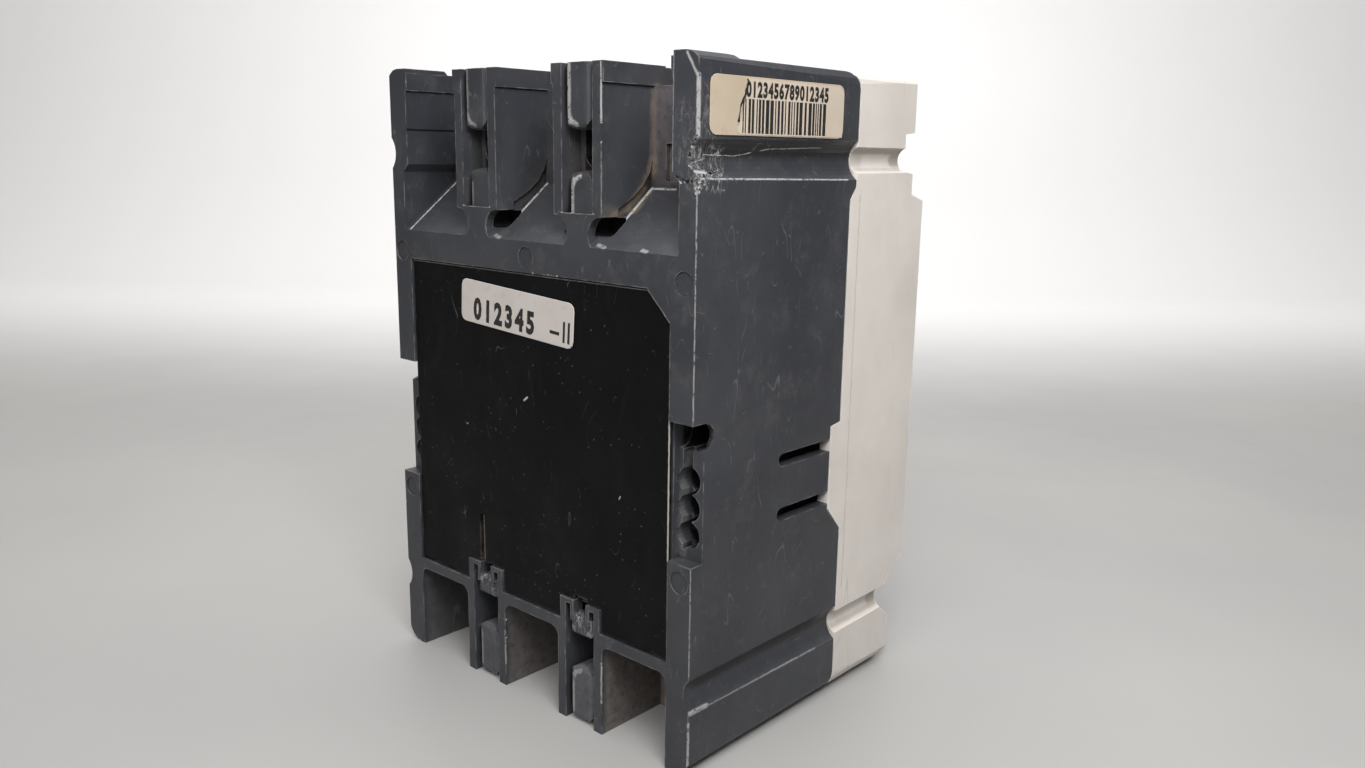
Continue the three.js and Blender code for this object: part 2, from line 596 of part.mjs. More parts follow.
function barcodeLabel() {
  const draft = (HALF_WIDTH - REAR_HALF_WIDTH) / (SEAM_LINE + 1);
  const face = (d) => REAR_HALF_WIDTH + draft * d;
  const sheet = [3.1, 47.8].map((d) => [-face(d) - 0.27, d])
    .concat([47.8, 3.1].map((d) => [-face(d) - 0.12, d]));
  return prismTall(sheet, 136, 149).intersect(
    prismWide(roundedRect(3.1, 136.6, 47.8, 148.1, 1.8, 3), -60, -40));
}

// ---- Current path --------------------------------------------------------------------------

// The line strap runs from its fixed contact up the rear, over the arc chute and
// out through the cavity floor to the terminal pad.
function lineConductor(x) {
  const path = [[13.2, 84], [13.2, 111], [21.5, 119.6], [35.3, 119.6], [35.3, 150.6]];
  const strap = prismWide(stripOutline(path, STRAP_THICKNESS), x - STRAP_HALF_WIDTH, x + STRAP_HALF_WIDTH);
  const contact = box(x - 4, x + 4, 14, 16.8, 87.6, 95);
  return without(strap.add(contact), [rodDeep(x, LINE_SCREW_HEIGHT, TERMINAL_SCREW_HOLE, 30, 40)]);
}

function loadConductor(x) {
  const path = [[11, 52], [11, 35], [35.3, 35], [35.3, 2]];
  const strap = prismWide(stripOutline(path, STRAP_THICKNESS), x - STRAP_HALF_WIDTH, x + STRAP_HALF_WIDTH);
  return without(strap, [rodDeep(x, LOAD_SCREW_HEIGHT, TERMINAL_SCREW_HOLE, 30, 40)]);
}

function terminalScrew(x, z) {
  const head = rodDeep(x, z, 3.9, 37.2, 40.6, 16);
  const shank = rodDeep(x, z, 2.3, 30, 37.2, 12);
  return without(head.add(shank), [box(x - 5, x + 5, 39.4, 42, z - 0.6, z + 0.6)]);
}

function arcChute(x) {
  const plate = [
    [x - 10.2, 93], [x - 4.6, 93], [x - 4.6, 98], [x + 4.6, 98], [x + 4.6, 93], [x + 10.2, 93],
    [x + 10.2, 117], [x - 10.2, 117],
  ];
  const plates = [25, 29, 33, 37, 41, 45].map((d) => prismDeep(plate, d, d + 1.4));
  const boards = [-11.2, 10.1].map((side) => box(x + side, x + side + 1.1, 24, 48, 92.5, 117.4));
  return joined([...boards, ...plates]);
}

// ---- Moving contacts ---------------------------------------------------------------------------

// Point at a radius and sideways offset from the crossbar axis, with the arm
// standing at its open angle. The offset is positive toward the fixed contact.
function armPoint(radius, offset) {
  const sin = Math.sin(ARM_OPEN_ANGLE);
  const cos = Math.cos(ARM_OPEN_ANGLE);
  return [CROSSBAR[0] + radius * sin - offset * cos, CROSSBAR[1] + radius * cos + offset * sin];
}

function armOutline(corners) {
  return corners.map(([radius, offset]) => armPoint(radius, offset));
}

function crossbar() {
  const rod = rodWide(CROSSBAR, CROSSBAR_RADIUS, -46.5, 46.5, 16);
  const carrier = armOutline([[0, 5], [0, -5], [12.5, -5], [12.5, 5]]);
  const slot = armOutline([[6.3, 4.2], [6.3, -4.2], [14, -4.2], [14, 4.2]]);
  const pin = rodWide(armPoint(LINK_PIN_REACH, 0), 1.6, 4.4, 8.4);
  const carriers = POLES.map((x) => prismWide(carrier, x - 4.6, x + 4.6));
  const slots = POLES.map((x) => prismWide(slot, x - 2.7, x + 2.7));
  return without(joined([rod, ...carriers]), slots).add(pin);
}

function contactArm(x) {
  const bar = armOutline([[6.9, 3.4], [6.9, -3.4], [14, -3.4], [ARM_REACH, -2], [ARM_REACH, 2], [14, 3.4]]);
  const contact = armOutline([[27, 0], [ARM_REACH, 0], [ARM_REACH, 3.6], [27, 3.6]]);
  return prismWide(bar, x - 2.3, x + 2.3).add(prismWide(contact, x - 2.6, x + 2.6));
}

function flexibleShunt(x) {
  const path = [[11, 53], [10.4, 57], [10.3, 61], [11, 65], [12.6, 68.4], [15, 70.6]];
  return prismWide(stripOutline(path, 1.4), x - 3, x + 3);
}

// ---- Operating mechanism in the centre pole ------------------------------------------------------

// Turns a shape drawn with the handle straight out, so that it stands at OFF.
function atOff(body) {
  const [depth, height] = HANDLE_PIVOT;
  const y = REAR_Y - depth;
  const tilt = THREE.MathUtils.radToDeg(HANDLE_OFF_TILT);
  return body.translate([0, -y, -height]).rotate([tilt, 0, 0]).translate([0, y, height]);
}

function handle() {
  const [d, z] = HANDLE_PIVOT;
  const half = THREE.MathUtils.radToDeg(SKIRT_HALF_ANGLE);
  const skirt = [
    ...arc(d, z, SKIRT_RADIUS, -half, half, 14), ...arc(d, z, SKIRT_RADIUS - 1.8, half, -half, 14),
  ];
  const tip = d + HANDLE_TIP_REACH;
  const grip = [
    [d + SKIRT_RADIUS - 1, z - 6], ...arc(tip, z, HANDLE_TIP_RADIUS, -90, 90, 10),
    [d + SKIRT_RADIUS - 1, z + 6],
  ];
  const socket = box(-6, 6, d + 27.4, d + SKIRT_RADIUS - 1, z - 4, z + 4);
  const sides = [
    [-9.6, d + 20], [9.6, d + 20], [9.6, d + 36], [8.4, tip + 6], [-8.4, tip + 6], [-9.6, d + 36],
  ];
  const ribs = [0, 1, 2].flatMap((i) => [-1, 1].map((side) => box(-7, 7,
    tip - 9 + 3.4 * i, tip - 7.8 + 3.4 * i, z + (side > 0 ? 3.4 : -7), z + (side > 0 ? 7 : -3.4))));
  const gripBody = without(prismWide(grip, -10, 10).intersect(prismTall(sides, 0, HEIGHT)), ribs);
  return atOff(joined([prismWide(skirt, -11.4, 11.4), gripBody, socket]));
}

function handleYoke() {
  const [d, z] = HANDLE_PIVOT;
  const leg = [...arc(d, z, 4, 90, 270, 6), [d + 27, z - 3], [d + 27, z + 3]];
  const legs = [-11.2, 9.6].map((x) => prismWide(leg, x, x + 1.6));
  const pins = [[-14.1, -10.4], [10.4, 14.1]].map(([x0, x1]) => rodWide(HANDLE_PIVOT, 2.2, x0, x1));
  const bridge = box(-11.2, 11.2, d + 25.4, d + 27, z - 3, z + 3);
  return atOff(joined([bridge, ...legs, ...pins]));
}

// Main tension spring: a helix from the yoke's bridge back past the pivot.
function mechanismSpring() {
  const [d, z] = HANDLE_PIVOT;
  const turns = 9;
  const steps = 8 * turns;
  const points = Array.from({ length: steps + 1 }, (_, i) => {
    const angle = i / steps * turns * 2 * Math.PI;
    const depth = d + 24.4 - 33 * i / steps;
    return new THREE.Vector3(-6.3 + 2 * Math.cos(angle), REAR_Y - depth, z + 2 * Math.sin(angle));
  });
  const wire = new THREE.Shape(circle(0, 0, 0.6, 5).map(([u, v]) => new THREE.Vector2(u, v)));
  const helix = new THREE.ExtrudeGeometry(wire, {
    steps, bevelEnabled: false, extrudePath: new THREE.CatmullRomCurve3(points),
  });
  return atOff(solid(helix));
}

function sidePlate(side) {
  const outline = [
    [15, 55], [42, 55], [60, 60], [65, 68], [65, 84], [60, 91], [34, 91], [15, 74],
  ];
  const x0 = side > 0 ? 12.4 : -14;
  return without(prismWide(outline, x0, x0 + 1.6), [
    rodWide(CROSSBAR, 6.2, x0 - 1, x0 + 3, 20),
    rodWide(HANDLE_PIVOT, 2.7, x0 - 1, x0 + 3),
    rodWide(CRADLE_PIVOT, 2.6, x0 - 1, x0 + 3),
  ]);
}

function cradle() {
  const [d, z] = CRADLE_PIVOT;
  const lever = [
    ...arc(d, z, 4, 60, 180, 5), [44, 78], [45.4, 56], [50.4, 56], [50.6, 66], [53.4, 80], [53, 84],
  ];
  const shaft = rodWide(CRADLE_PIVOT, 2, -13.9, 13.9);
  const pin = rodWide(CRADLE_PIN, 1.5, 3.4, 6.9);
  return joined([prismWide(lever, 3.2, 4.8), shaft, pin]);
}

// Where the two toggle links meet while the contacts stand open.
function kneePoint() {
  const from = new THREE.Vector2(...CRADLE_PIN);
  const to = new THREE.Vector2(...armPoint(LINK_PIN_REACH, 0));
  const span = from.distanceTo(to);
  const along = (UPPER_LINK ** 2 - LOWER_LINK ** 2 + span ** 2) / (2 * span);
  const aside = Math.sqrt(UPPER_LINK ** 2 - along ** 2);
  const axis = to.sub(from).normalize();
  return [from.x + axis.x * along - axis.y * aside, from.y + axis.y * along + axis.x * aside];
}

function upperToggleLink() {
  const link = prismWide(barOutline(CRADLE_PIN, kneePoint(), 2.9), 5.2, 6.4);
  return without(link, [rodWide(CRADLE_PIN, 1.9, 5, 7)]);
}

function lowerToggleLink() {
  const foot = armPoint(LINK_PIN_REACH, 0);
  const link = prismWide(barOutline(kneePoint(), foot, 2.9), 6.8, 8);
  return without(link, [rodWide(foot, 2, 6, 9)]).add(rodWide(kneePoint(), 1.5, 6.8, 9));
}

// ---- Trip unit ----------------------------------------------------------------------------------------

function tripBar() {
  const [d, z] = TRIP_BAR;
  const rod = rodWide(TRIP_BAR, 3, -46.5, 46.5);
  const paddle = [[d - 3.6, z - 1.5], [d, z - 1.5], [d - 1.5, z + 8], [d - 3.6, z + 8]];
  const paddles = POLES.map((x) => prismWide(paddle, x - 8, x + 8));
  const buttonPaddle = prismWide([[d - 1.5, z - 9], [d + 1.5, z - 9], [d + 1.5, z], [d - 1.5, z]],
    BUTTON[0] - 2.2, BUTTON[0] + 2.2);
  const latch = prismWide([[d, z - 2], [d + 7.5, z + 5.5], [d + 7.5, z + 9], [d + 4, z + 9], [d - 2, z + 2]],
    2.9, 5.1);
  return joined([rod, ...paddles, buttonPaddle, latch]);
}

function tripButton() {
  const [x, z] = BUTTON;
  const cap = rodDeep(x, z, 3.1, 80, FRONT - 0.5, 16);
  const collar = rodDeep(x, z, 4.6, 80, 82, 16);
  const stem = rodDeep(x, z, 1.7, TRIP_BAR[0] + 2.85, 81, 10);
  return joined([cap, collar, stem]);
}

function bimetal(x) {
  const strip = box(x - 3.5, x + 3.5, 15, 16.2, 36.6, 53.5);
  return strip.add(rodDeep(x, 51.6, 1, 16, 33.2, 8));
}

function magnetYoke(x) {
  const outer = box(x - 8.2, x + 8.2, 7.4, 23.5, 39, 47);
  return without(outer, [box(x - 6.7, x + 6.7, 9.2, 25, 38, 48)]);
}

function armature(x) {
  const plate = box(x - 7.5, x + 7.5, 25.5, 27, 38, 49.6);
  const tail = box(x + 4.4, x + 7.5, 25.5, 27, 49, 53.4);
  const finger = box(x + 5, x + 7.2, 26.5, 33, 51.4, 53.4);
  const pins = rodWide(ARMATURE_PIVOT, 1.2, x - 14.1, x + 14.1, 10);
  return joined([plate, tail, finger, pins]);
}

// ---- Assembly --------------------------------------------------------------------------------------------

piece('case_base', caseBase(), 'slate');
piece('case_cover', caseCover(), 'beige');
piece('rear_insulation_plate', rearPlate(), 'fibre');
piece('asset_label', assetLabel(), 'assetPaper');
piece('barcode_label', barcodeLabel(), 'barcodePaper');
piece('handle', handle(), 'black');
piece('handle_yoke', handleYoke(), 'steel');
piece('mechanism_spring', mechanismSpring(), 'steel');
piece('mechanism_side_plate_left', sidePlate(-1), 'steel');
piece('mechanism_side_plate_right', sidePlate(1), 'steel');
piece('cradle', cradle(), 'steel');
piece('upper_toggle_link', upperToggleLink(), 'steel');
piece('lower_toggle_link', lowerToggleLink(), 'steel');
piece('crossbar', crossbar(), 'crossbar');
piece('trip_bar', tripBar(), 'crossbar');
piece('trip_button', tripButton(), 'red');
BARRIERS.forEach((x, column) => COVER_SCREW_HEIGHTS.forEach((z, row) =>
  piece(`cover_screw_${2 * column + row + 1}`, coverScrew(x, z), 'steel')));
POLES.forEach((x, i) => {
  const pole = i + 1;
  piece(`line_conductor_${pole}`, lineConductor(x), 'copper');
  piece(`load_conductor_${pole}`, loadConductor(x), 'copper');
  piece(`line_terminal_screw_${pole}`, terminalScrew(x, LINE_SCREW_HEIGHT), 'brass');
  piece(`load_terminal_screw_${pole}`, terminalScrew(x, LOAD_SCREW_HEIGHT), 'brass');
  piece(`arc_chute_${pole}`, arcChute(x), 'chute');
  piece(`contact_arm_${pole}`, contactArm(x), 'copper');
  piece(`flexible_shunt_${pole}`, flexibleShunt(x), 'copper');
  piece(`bimetal_${pole}`, bimetal(x), 'steel');
  piece(`magnet_yoke_${pole}`, magnetYoke(x), 'steel');
  piece(`armature_${pole}`, armature(x), 'steel');
});

export default breaker;
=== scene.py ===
"""Visual model of a moulded-case circuit breaker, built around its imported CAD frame.

Metres, in the frame's own axes: X is the width, +Z runs from the load end to the
line end, and the rear mounting face looks toward +Y.
"""

import json
import math
import random

import bmesh
import bpy
from mathutils import Matrix, Vector


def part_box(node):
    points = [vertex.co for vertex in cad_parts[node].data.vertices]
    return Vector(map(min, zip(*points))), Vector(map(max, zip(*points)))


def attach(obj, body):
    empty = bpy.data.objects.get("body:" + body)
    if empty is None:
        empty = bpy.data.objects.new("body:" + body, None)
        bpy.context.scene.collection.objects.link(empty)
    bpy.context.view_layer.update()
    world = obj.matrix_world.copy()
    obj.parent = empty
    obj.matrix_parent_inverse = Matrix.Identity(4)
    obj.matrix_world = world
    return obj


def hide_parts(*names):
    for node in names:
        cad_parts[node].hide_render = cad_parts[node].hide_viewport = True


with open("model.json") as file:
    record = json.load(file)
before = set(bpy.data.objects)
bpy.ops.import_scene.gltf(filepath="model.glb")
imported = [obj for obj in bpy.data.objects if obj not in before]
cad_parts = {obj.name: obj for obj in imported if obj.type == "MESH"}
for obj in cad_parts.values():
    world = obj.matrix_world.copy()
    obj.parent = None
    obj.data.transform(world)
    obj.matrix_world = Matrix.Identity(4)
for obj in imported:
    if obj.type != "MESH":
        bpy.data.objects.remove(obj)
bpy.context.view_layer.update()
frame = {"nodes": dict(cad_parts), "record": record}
nodes = frame["nodes"]

MM = 0.001
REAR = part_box("case_base")[1].y


def mm(*values):
    return Vector(value * MM for value in values)


def added(name, data):
    """New object with the given data, linked into the scene."""
    result = bpy.data.objects.new(name, data)
    bpy.context.scene.collection.objects.link(result)
    return result


def at_rear(x, depth, z):
    """Point given in millimetres by width, depth from the rear face, and height."""
    return Vector((x * MM, REAR - depth * MM, z * MM))


# ---- Camera -----------------------------------------------------------------------

def camera(azimuth, elevation, roll, place, lens):
    a, e, turn = (math.radians(v) for v in (azimuth, elevation, roll))
    back = Vector((math.sin(a) * math.cos(e), -math.cos(a) * math.cos(e), math.sin(e)))
    side = Vector((0, 0, 1)).cross(back).normalized()
    over = back.cross(side)
    right = math.cos(turn) * side + math.sin(turn) * over
    up = math.cos(turn) * over - math.sin(turn) * side
    data = bpy.data.cameras.new("camera")
    data.lens = lens
    data.sensor_width = 36
    data.clip_start = 0.01
    result = added("camera", data)
    result.matrix_world = Matrix.Translation(place) @ Matrix((right, up, back)).transposed().to_4x4()
    bpy.context.scene.camera = result


CAMERA_AZIMUTH = 221.85
camera(CAMERA_AZIMUTH, elevation=12.04, roll=0.86, place=mm(-191.59, 211.0, 133.06), lens=28.57)


# ---- Node materials ---------------------------------------------------------------

# Sockets of the mix node that carry colours: first and second input, and the result.
COLOUR_A = 6
COLOUR_B = 7
COLOUR_MIXED = 2


class Finish:
    """One procedural material, built up in layers on a Principled shader."""

    def __init__(self, name, metallic=0.0):
        self.material = bpy.data.materials.new(name)
        self.material.use_nodes = True
        self.tree = self.material.node_tree
        self.tree.nodes.clear()
        self.shader = self.add("ShaderNodeBsdfPrincipled")
        self.shader.inputs["Metallic"].default_value = metallic
        output = self.add("ShaderNodeOutputMaterial")
        self.tree.links.new(self.shader.outputs["BSDF"], output.inputs["Surface"])
        self.place = self.add("ShaderNodeTexCoord").outputs["Object"]

    def add(self, kind, **settings):
        node = self.tree.nodes.new(kind)
        for key, value in settings.items():
            setattr(node, key, value)
        return node

    def feed(self, socket, value):
        if isinstance(value, bpy.types.NodeSocket):
            self.tree.links.new(value, socket)
        else:
            socket.default_value = value

    def spot(self, turn=(0, 0, 0), stretch=(1, 1, 1)):
        """Object coordinates, turned and stretched."""
        node = self.add("ShaderNodeMapping")
        self.feed(node.inputs["Vector"], self.place)
        node.inputs["Rotation"].default_value = [math.radians(v) for v in turn]
        node.inputs["Scale"].default_value = stretch
        return node.outputs["Vector"]

    def noise(self, size, detail=3.0, rough=0.5, warp=0.0, vector=None):
        node = self.add("ShaderNodeTexNoise")
        self.feed(node.inputs["Vector"], vector or self.place)
        node.inputs["Scale"].default_value = 1 / (size * MM)
        node.inputs["Detail"].default_value = detail
        node.inputs["Roughness"].default_value = rough
        node.inputs["Distortion"].default_value = warp
        return node.outputs["Fac"]

    def cells(self, size):
        node = self.add("ShaderNodeTexVoronoi")
        self.feed(node.inputs["Vector"], self.place)
        node.inputs["Scale"].default_value = 1 / (size * MM)
        return node.outputs["Distance"]

    def step(self, value, low, high, top=1.0):
        """0 at low and `top` at high, smoothly between them."""
        node = self.add("ShaderNodeMapRange", interpolation_type="SMOOTHSTEP")
        self.feed(node.inputs["Value"], value)
        node.inputs["From Min"].default_value = low
        node.inputs["From Max"].default_value = high
        node.inputs["To Max"].default_value = top
        return node.outputs["Result"]

    def maths(self, operation, a, b=0.0):
        node = self.add("ShaderNodeMath", operation=operation)
        self.feed(node.inputs[0], a)
        self.feed(node.inputs[1], b)
        return node.outputs["Value"]

    def times(self, *values):
        result = values[0]
        for value in values[1:]:
            result = self.maths("MULTIPLY", result, value)
        return result

    def most(self, *values):
        result = values[0]
        for value in values[1:]:
            result = self.maths("MAXIMUM", result, value)
        return result

    def mix(self, amount, a, b):
        node = self.add("ShaderNodeMix", data_type="RGBA")
        self.feed(node.inputs["Factor"], amount)
        for index, value in ((COLOUR_A, a), (COLOUR_B, b)):
            self.feed(node.inputs[index], value if isinstance(value, bpy.types.NodeSocket) else (*value, 1))
        return node.outputs[COLOUR_MIXED]

    def mottled(self, size, a, b, rough=0.6):
        """Two colours in soft patches of about `size` mm."""
        return self.mix(self.step(self.noise(size, 4, rough), 0.35, 0.7), a, b)

    def uneven(self, size, spread, least, detail=3):
        """Roughness that varies from `least` to `least` + `spread`."""
        return self.maths("ADD", self.step(self.noise(size, detail), 0.3, 0.7, spread), least)

    def wavering(self, amount, size):
        """Object coordinates, shaken by up to half of `amount` mm."""
        shake = self.add("ShaderNodeTexNoise")
        self.feed(shake.inputs["Vector"], self.place)
        shake.inputs["Scale"].default_value = 1 / (size * MM)
        shake.inputs["Detail"].default_value = 4
        centred = self.add("ShaderNodeVectorMath", operation="SUBTRACT")
        self.feed(centred.inputs[0], shake.outputs["Color"])
        centred.inputs[1].default_value = (0.5, 0.5, 0.5)
        moved = self.add("ShaderNodeVectorMath", operation="MULTIPLY_ADD")
        self.feed(moved.inputs[0], centred.outputs["Vector"])
        moved.inputs[1].default_value = (amount * MM,) * 3
        self.feed(moved.inputs[2], self.place)
        return moved.outputs["Vector"]

    def within(self, a, b, soft, place):
        """1 in the box between two corners, fading to 0 from `soft` mm inside its faces to `soft` outside."""
        low = Vector(map(min, a, b))
        high = Vector(map(max, a, b))
        split = self.add("ShaderNodeSeparateXYZ")
        self.feed(split.inputs["Vector"], place)
        masks = []
        for value, least, most in zip(split.outputs, low, high):
            masks.append(self.step(value, least - soft * MM, least + soft * MM))
            masks.append(self.step(value, most + soft * MM, most - soft * MM))
        return self.times(*masks)

    def near_line(self, start, end, reach, place):
        """1 near the line between two points, 0 from `reach` mm away."""
        from_start = self.add("ShaderNodeVectorMath", operation="SUBTRACT")
        self.feed(from_start.inputs[0], place)
        from_start.inputs[1].default_value = start
        run = end - start
        dot = self.add("ShaderNodeVectorMath", operation="DOT_PRODUCT")
        self.feed(dot.inputs[0], from_start.outputs["Vector"])
        dot.inputs[1].default_value = run / run.length_squared
        along = self.maths("MINIMUM", self.maths("MAXIMUM", dot.outputs["Value"], 0.0), 1.0)
        foot = self.add("ShaderNodeVectorMath", operation="SCALE")
        foot.inputs[0].default_value = run
        self.feed(foot.inputs["Scale"], along)
        gap = self.add("ShaderNodeVectorMath", operation="DISTANCE")
        self.feed(gap.inputs[0], from_start.outputs["Vector"])
        self.feed(gap.inputs[1], foot.outputs["Vector"])
        return self.step(gap.outputs["Value"], reach * MM, reach * 0.35 * MM)

    def occlusion(self, reach, inside):
        node = self.add("ShaderNodeAmbientOcclusion", samples=8, inside=inside, only_local=True)
        node.inputs["Distance"].default_value = reach * MM
        return node.outputs["AO"]

    def edges(self, reach, sharp, size):
        """Broken line along outward edges."""
        return self.times(self.step(self.occlusion(reach, True), 0.86, sharp),
                          self.step(self.noise(size, 4, 0.65), 0.42, 0.6))

    def recesses(self, reach=9.0):
        return self.step(self.occlusion(reach, False), 0.75, 0.25)

    def scratches(self, turn, size, width, amount=(0.5, 0.62), stretch=0.07):
        """Thin curved lines, running mostly one way."""
        field = self.noise(size, 1.0, 0.3, 0.4, self.spot(turn, (1, 1, stretch)))
        line = self.step(self.maths("ABSOLUTE", self.maths("SUBTRACT", field, 0.5)), width, 0.0)
        return self.times(line, self.step(self.noise(size * 0.9, 2), *amount))

    def bump(self, height, depth, below=None):
        node = self.add("ShaderNodeBump")
        node.inputs["Distance"].default_value = depth * MM
        self.feed(node.inputs["Height"], height)
        if below is not None:
            self.feed(node.inputs["Normal"], below)
        return node.outputs["Normal"]

    def done(self, colour, roughness, normal=None):
        self.feed(self.shader.inputs["Base Color"], colour)
        self.feed(self.shader.inputs["Roughness"], roughness)
        if normal is not None:
            self.feed(self.shader.inputs["Normal"], normal)
        return self.material


# Sloping floor of a line-end pocket: its height at the rear face, its rise for each mm of
# depth, and how far above it the painted highlight lines run, in mm.
RAMP_FOOT = 113
RAMP_SLOPE = 12.4 / 15.6
RAMP_PROUD = 0.1


def ramp(x, depth):
    """Point just above the sloping floor of a line-end pocket."""
    return at_rear(x, depth, RAMP_FOOT + RAMP_SLOPE * depth + RAMP_PROUD)


# Bright lines, edges that handling has rubbed bright and painted highlights along the pocket ramps: start,
# end, reach to each side in mm, strength.
WORN_AND_HIGHLIGHT_LINES = (
    (at_rear(-51.6, 1.0, 128.2), at_rear(-52.3, 51.0, 127.7), 0.30, 0.9),
    (at_rear(-52.0, 6.0, 136.1), at_rear(-52.3, 30.0, 136.3), 0.22, 0.35),
    (at_rear(-51.6, 0.1, 80.0), at_rear(-51.6, 0.1, 127.8), 0.26, 0.6),
    (at_rear(-51.5, 0.2, 136.4), at_rear(-51.5, 0.2, 147.6), 0.65, 0.9),
    (at_rear(-51.3, 0.2, 147.6), at_rear(-48.6, 0.2, 151.8), 0.50, 0.8),
    (at_rear(-45.1, 0.1, 129.5), at_rear(-45.1, 0.1, 152.0), 0.26, 0.4),
    (at_rear(-51.6, 0.1, 24.0), at_rear(-51.6, 0.1, 48.0), 0.24, 0.5),
    (at_rear(-51.6, 0.2, 0.5), at_rear(-51.6, 0.2, 13.0), 0.45, 0.8),
    (at_rear(-51.7, 0.6, 15.2), at_rear(-51.7, 6.0, 15.1), 0.8, 0.7),
    (at_rear(-51.8, 6.0, 15.0), at_rear(-52.2, 46.0, 14.9), 0.35, 0.45),
    (at_rear(-45.4, 0.4, 26.0), at_rear(-45.4, 0.4, 47.8), 0.30, 0.5),
    (at_rear(-44.9, 0.5, 79.5), at_rear(-44.9, 0.5, 99.0), 0.22, 0.35),
    (at_rear(-52.3, 52.1, 72.0), at_rear(-52.3, 52.1, 122.0), 0.22, 0.3),
    # Painted highlights: the next four lines run where the ramps meet the pocket walls and the front wall,
    # and the two after them sit on the rounded lower corners of the ramps.
    (ramp(45.0, 0.3), ramp(45.0, 15.4), 0.50, 1.0),
    (ramp(10.0, 5.6), ramp(10.0, 15.4), 0.55, 1.0),
    (ramp(-24.9, 5.6), ramp(-24.9, 15.4), 0.55, 1.0),
    (ramp(-24.9, 15.4), ramp(-32.0, 15.4), 0.40, 0.9),
    (ramp(9.4, 0.2), ramp(11.6, 0.8), 0.7, 0.4),
    (ramp(-25.6, 0.2), ramp(-23.2, 0.8), 0.7, 0.5),
    (ramp(-36.5, 0.5), ramp(-38.0, 0.2), 0.7, 0.5),
    (at_rear(-24.9, 0.1, 139.0), at_rear(-24.9, 0.1, 151.0), 0.32, 0.9),
    (at_rear(-24.9, 0.1, 120.5), at_rear(-24.9, 0.1, 133.0), 0.22, 0.4),
    (at_rear(20.2, 0.2, 141.2), at_rear(20.2, 0.2, 151.0), 0.9, 0.4),
    (at_rear(20.2, 0.2, 141.2), at_rear(19.3, 0.2, 139.4), 0.9, 0.5),
    (at_rear(19.3, 0.2, 139.4), at_rear(17.6, 0.2, 138.6), 0.8, 0.5),
    (at_rear(-14.7, 0.2, 141.2), at_rear(-14.7, 0.2, 151.0), 1.2, 0.85),
    (at_rear(-14.7, 0.2, 141.2), at_rear(-15.5, 0.2, 139.4), 1.1, 0.85),
    (at_rear(-15.5, 0.2, 139.4), at_rear(-17.2, 0.2, 138.6), 0.9, 0.8),
    (at_rear(20.2, 1.2, 119.5), at_rear(20.2, 1.2, 125.2), 0.8, 0.35),
    (at_rear(-14.7, 1.2, 119.5), at_rear(-14.7, 1.2, 125.2), 1.1, 0.8),
    (at_rear(-14.7, 1.2, 125.2), at_rear(-15.5, 1.2, 127.0), 1.0, 0.8),
    (at_rear(-15.5, 1.2, 127.0), at_rear(-17.2, 1.2, 127.8), 0.8, 0.7),
    (at_rear(-22.6, 0.1, 120.1), at_rear(-12.4, 0.1, 120.1), 0.28, 0.6),
    (at_rear(12.4, 0.1, 120.1), at_rear(22.6, 0.1, 120.1), 0.28, 0.6),
    (at_rear(20.2, 0.6, 3.0), at_rear(20.2, 0.6, 11.4), 0.9, 0.4),
    (at_rear(-14.7, 0.6, 2.5), at_rear(-14.7, 0.6, 10.7), 0.9, 0.6),
    (at_rear(-14.7, 0.6, 10.7), at_rear(-15.5, 0.6, 12.4), 0.9, 0.5),
    (at_rear(-15.5, 0.6, 12.4), at_rear(-17.2, 0.6, 13.2), 0.8, 0.4),
    (at_rear(-24.8, 0.1, 8.0), at_rear(-24.8, 0.1, 18.0), 0.3, 0.8),
    (at_rear(10.1, 0.1, 6.0), at_rear(10.1, 0.1, 15.0), 0.3, 0.6),
    (at_rear(-50.1, 3.5, 132.8), at_rear(-50.1, 13.0, 132.6), 0.16, 1.0),
    (at_rear(-50.1, 13.0, 132.6), at_rear(-50.5, 24.0, 134.1), 0.16, 0.9),
    (at_rear(-50.5, 24.0, 134.1), at_rear(-50.7, 42.0, 134.6), 0.16, 0.7),
    (at_rear(-50.1, 1.0, 131.4), at_rear(-50.2, 8.0, 133.2), 0.18, 0.9),
    (at_rear(-50.6, 0.4, 129.6), at_rear(-51.0, 5.0, 129.2), 0.5, 0.9),
)
# Scuffed places: low corner, high corner, soft edge in mm, strength.
SCUFFED = (
    (at_rear(14.2, 4.0, 22.0), at_rear(20.9, 0.2, 27.4), 0.6, 0.6),
    (at_rear(-20.9, 4.0, 22.0), at_rear(-14.2, 0.2, 27.4), 0.6, 0.65),
    (at_rear(-51.6, 0.5, 129.0), at_rear(-46.0, -0.3, 143.0), 1.5, 0.35),
    (at_rear(-53.0, 9.0, 126.0), at_rear(-49.4, -0.3, 134.5), 1.2, 0.6),
    (at_rear(-53.0, 6.0, 134.5), at_rear(-50.5, -0.3, 146.0), 1.5, 0.25),
)
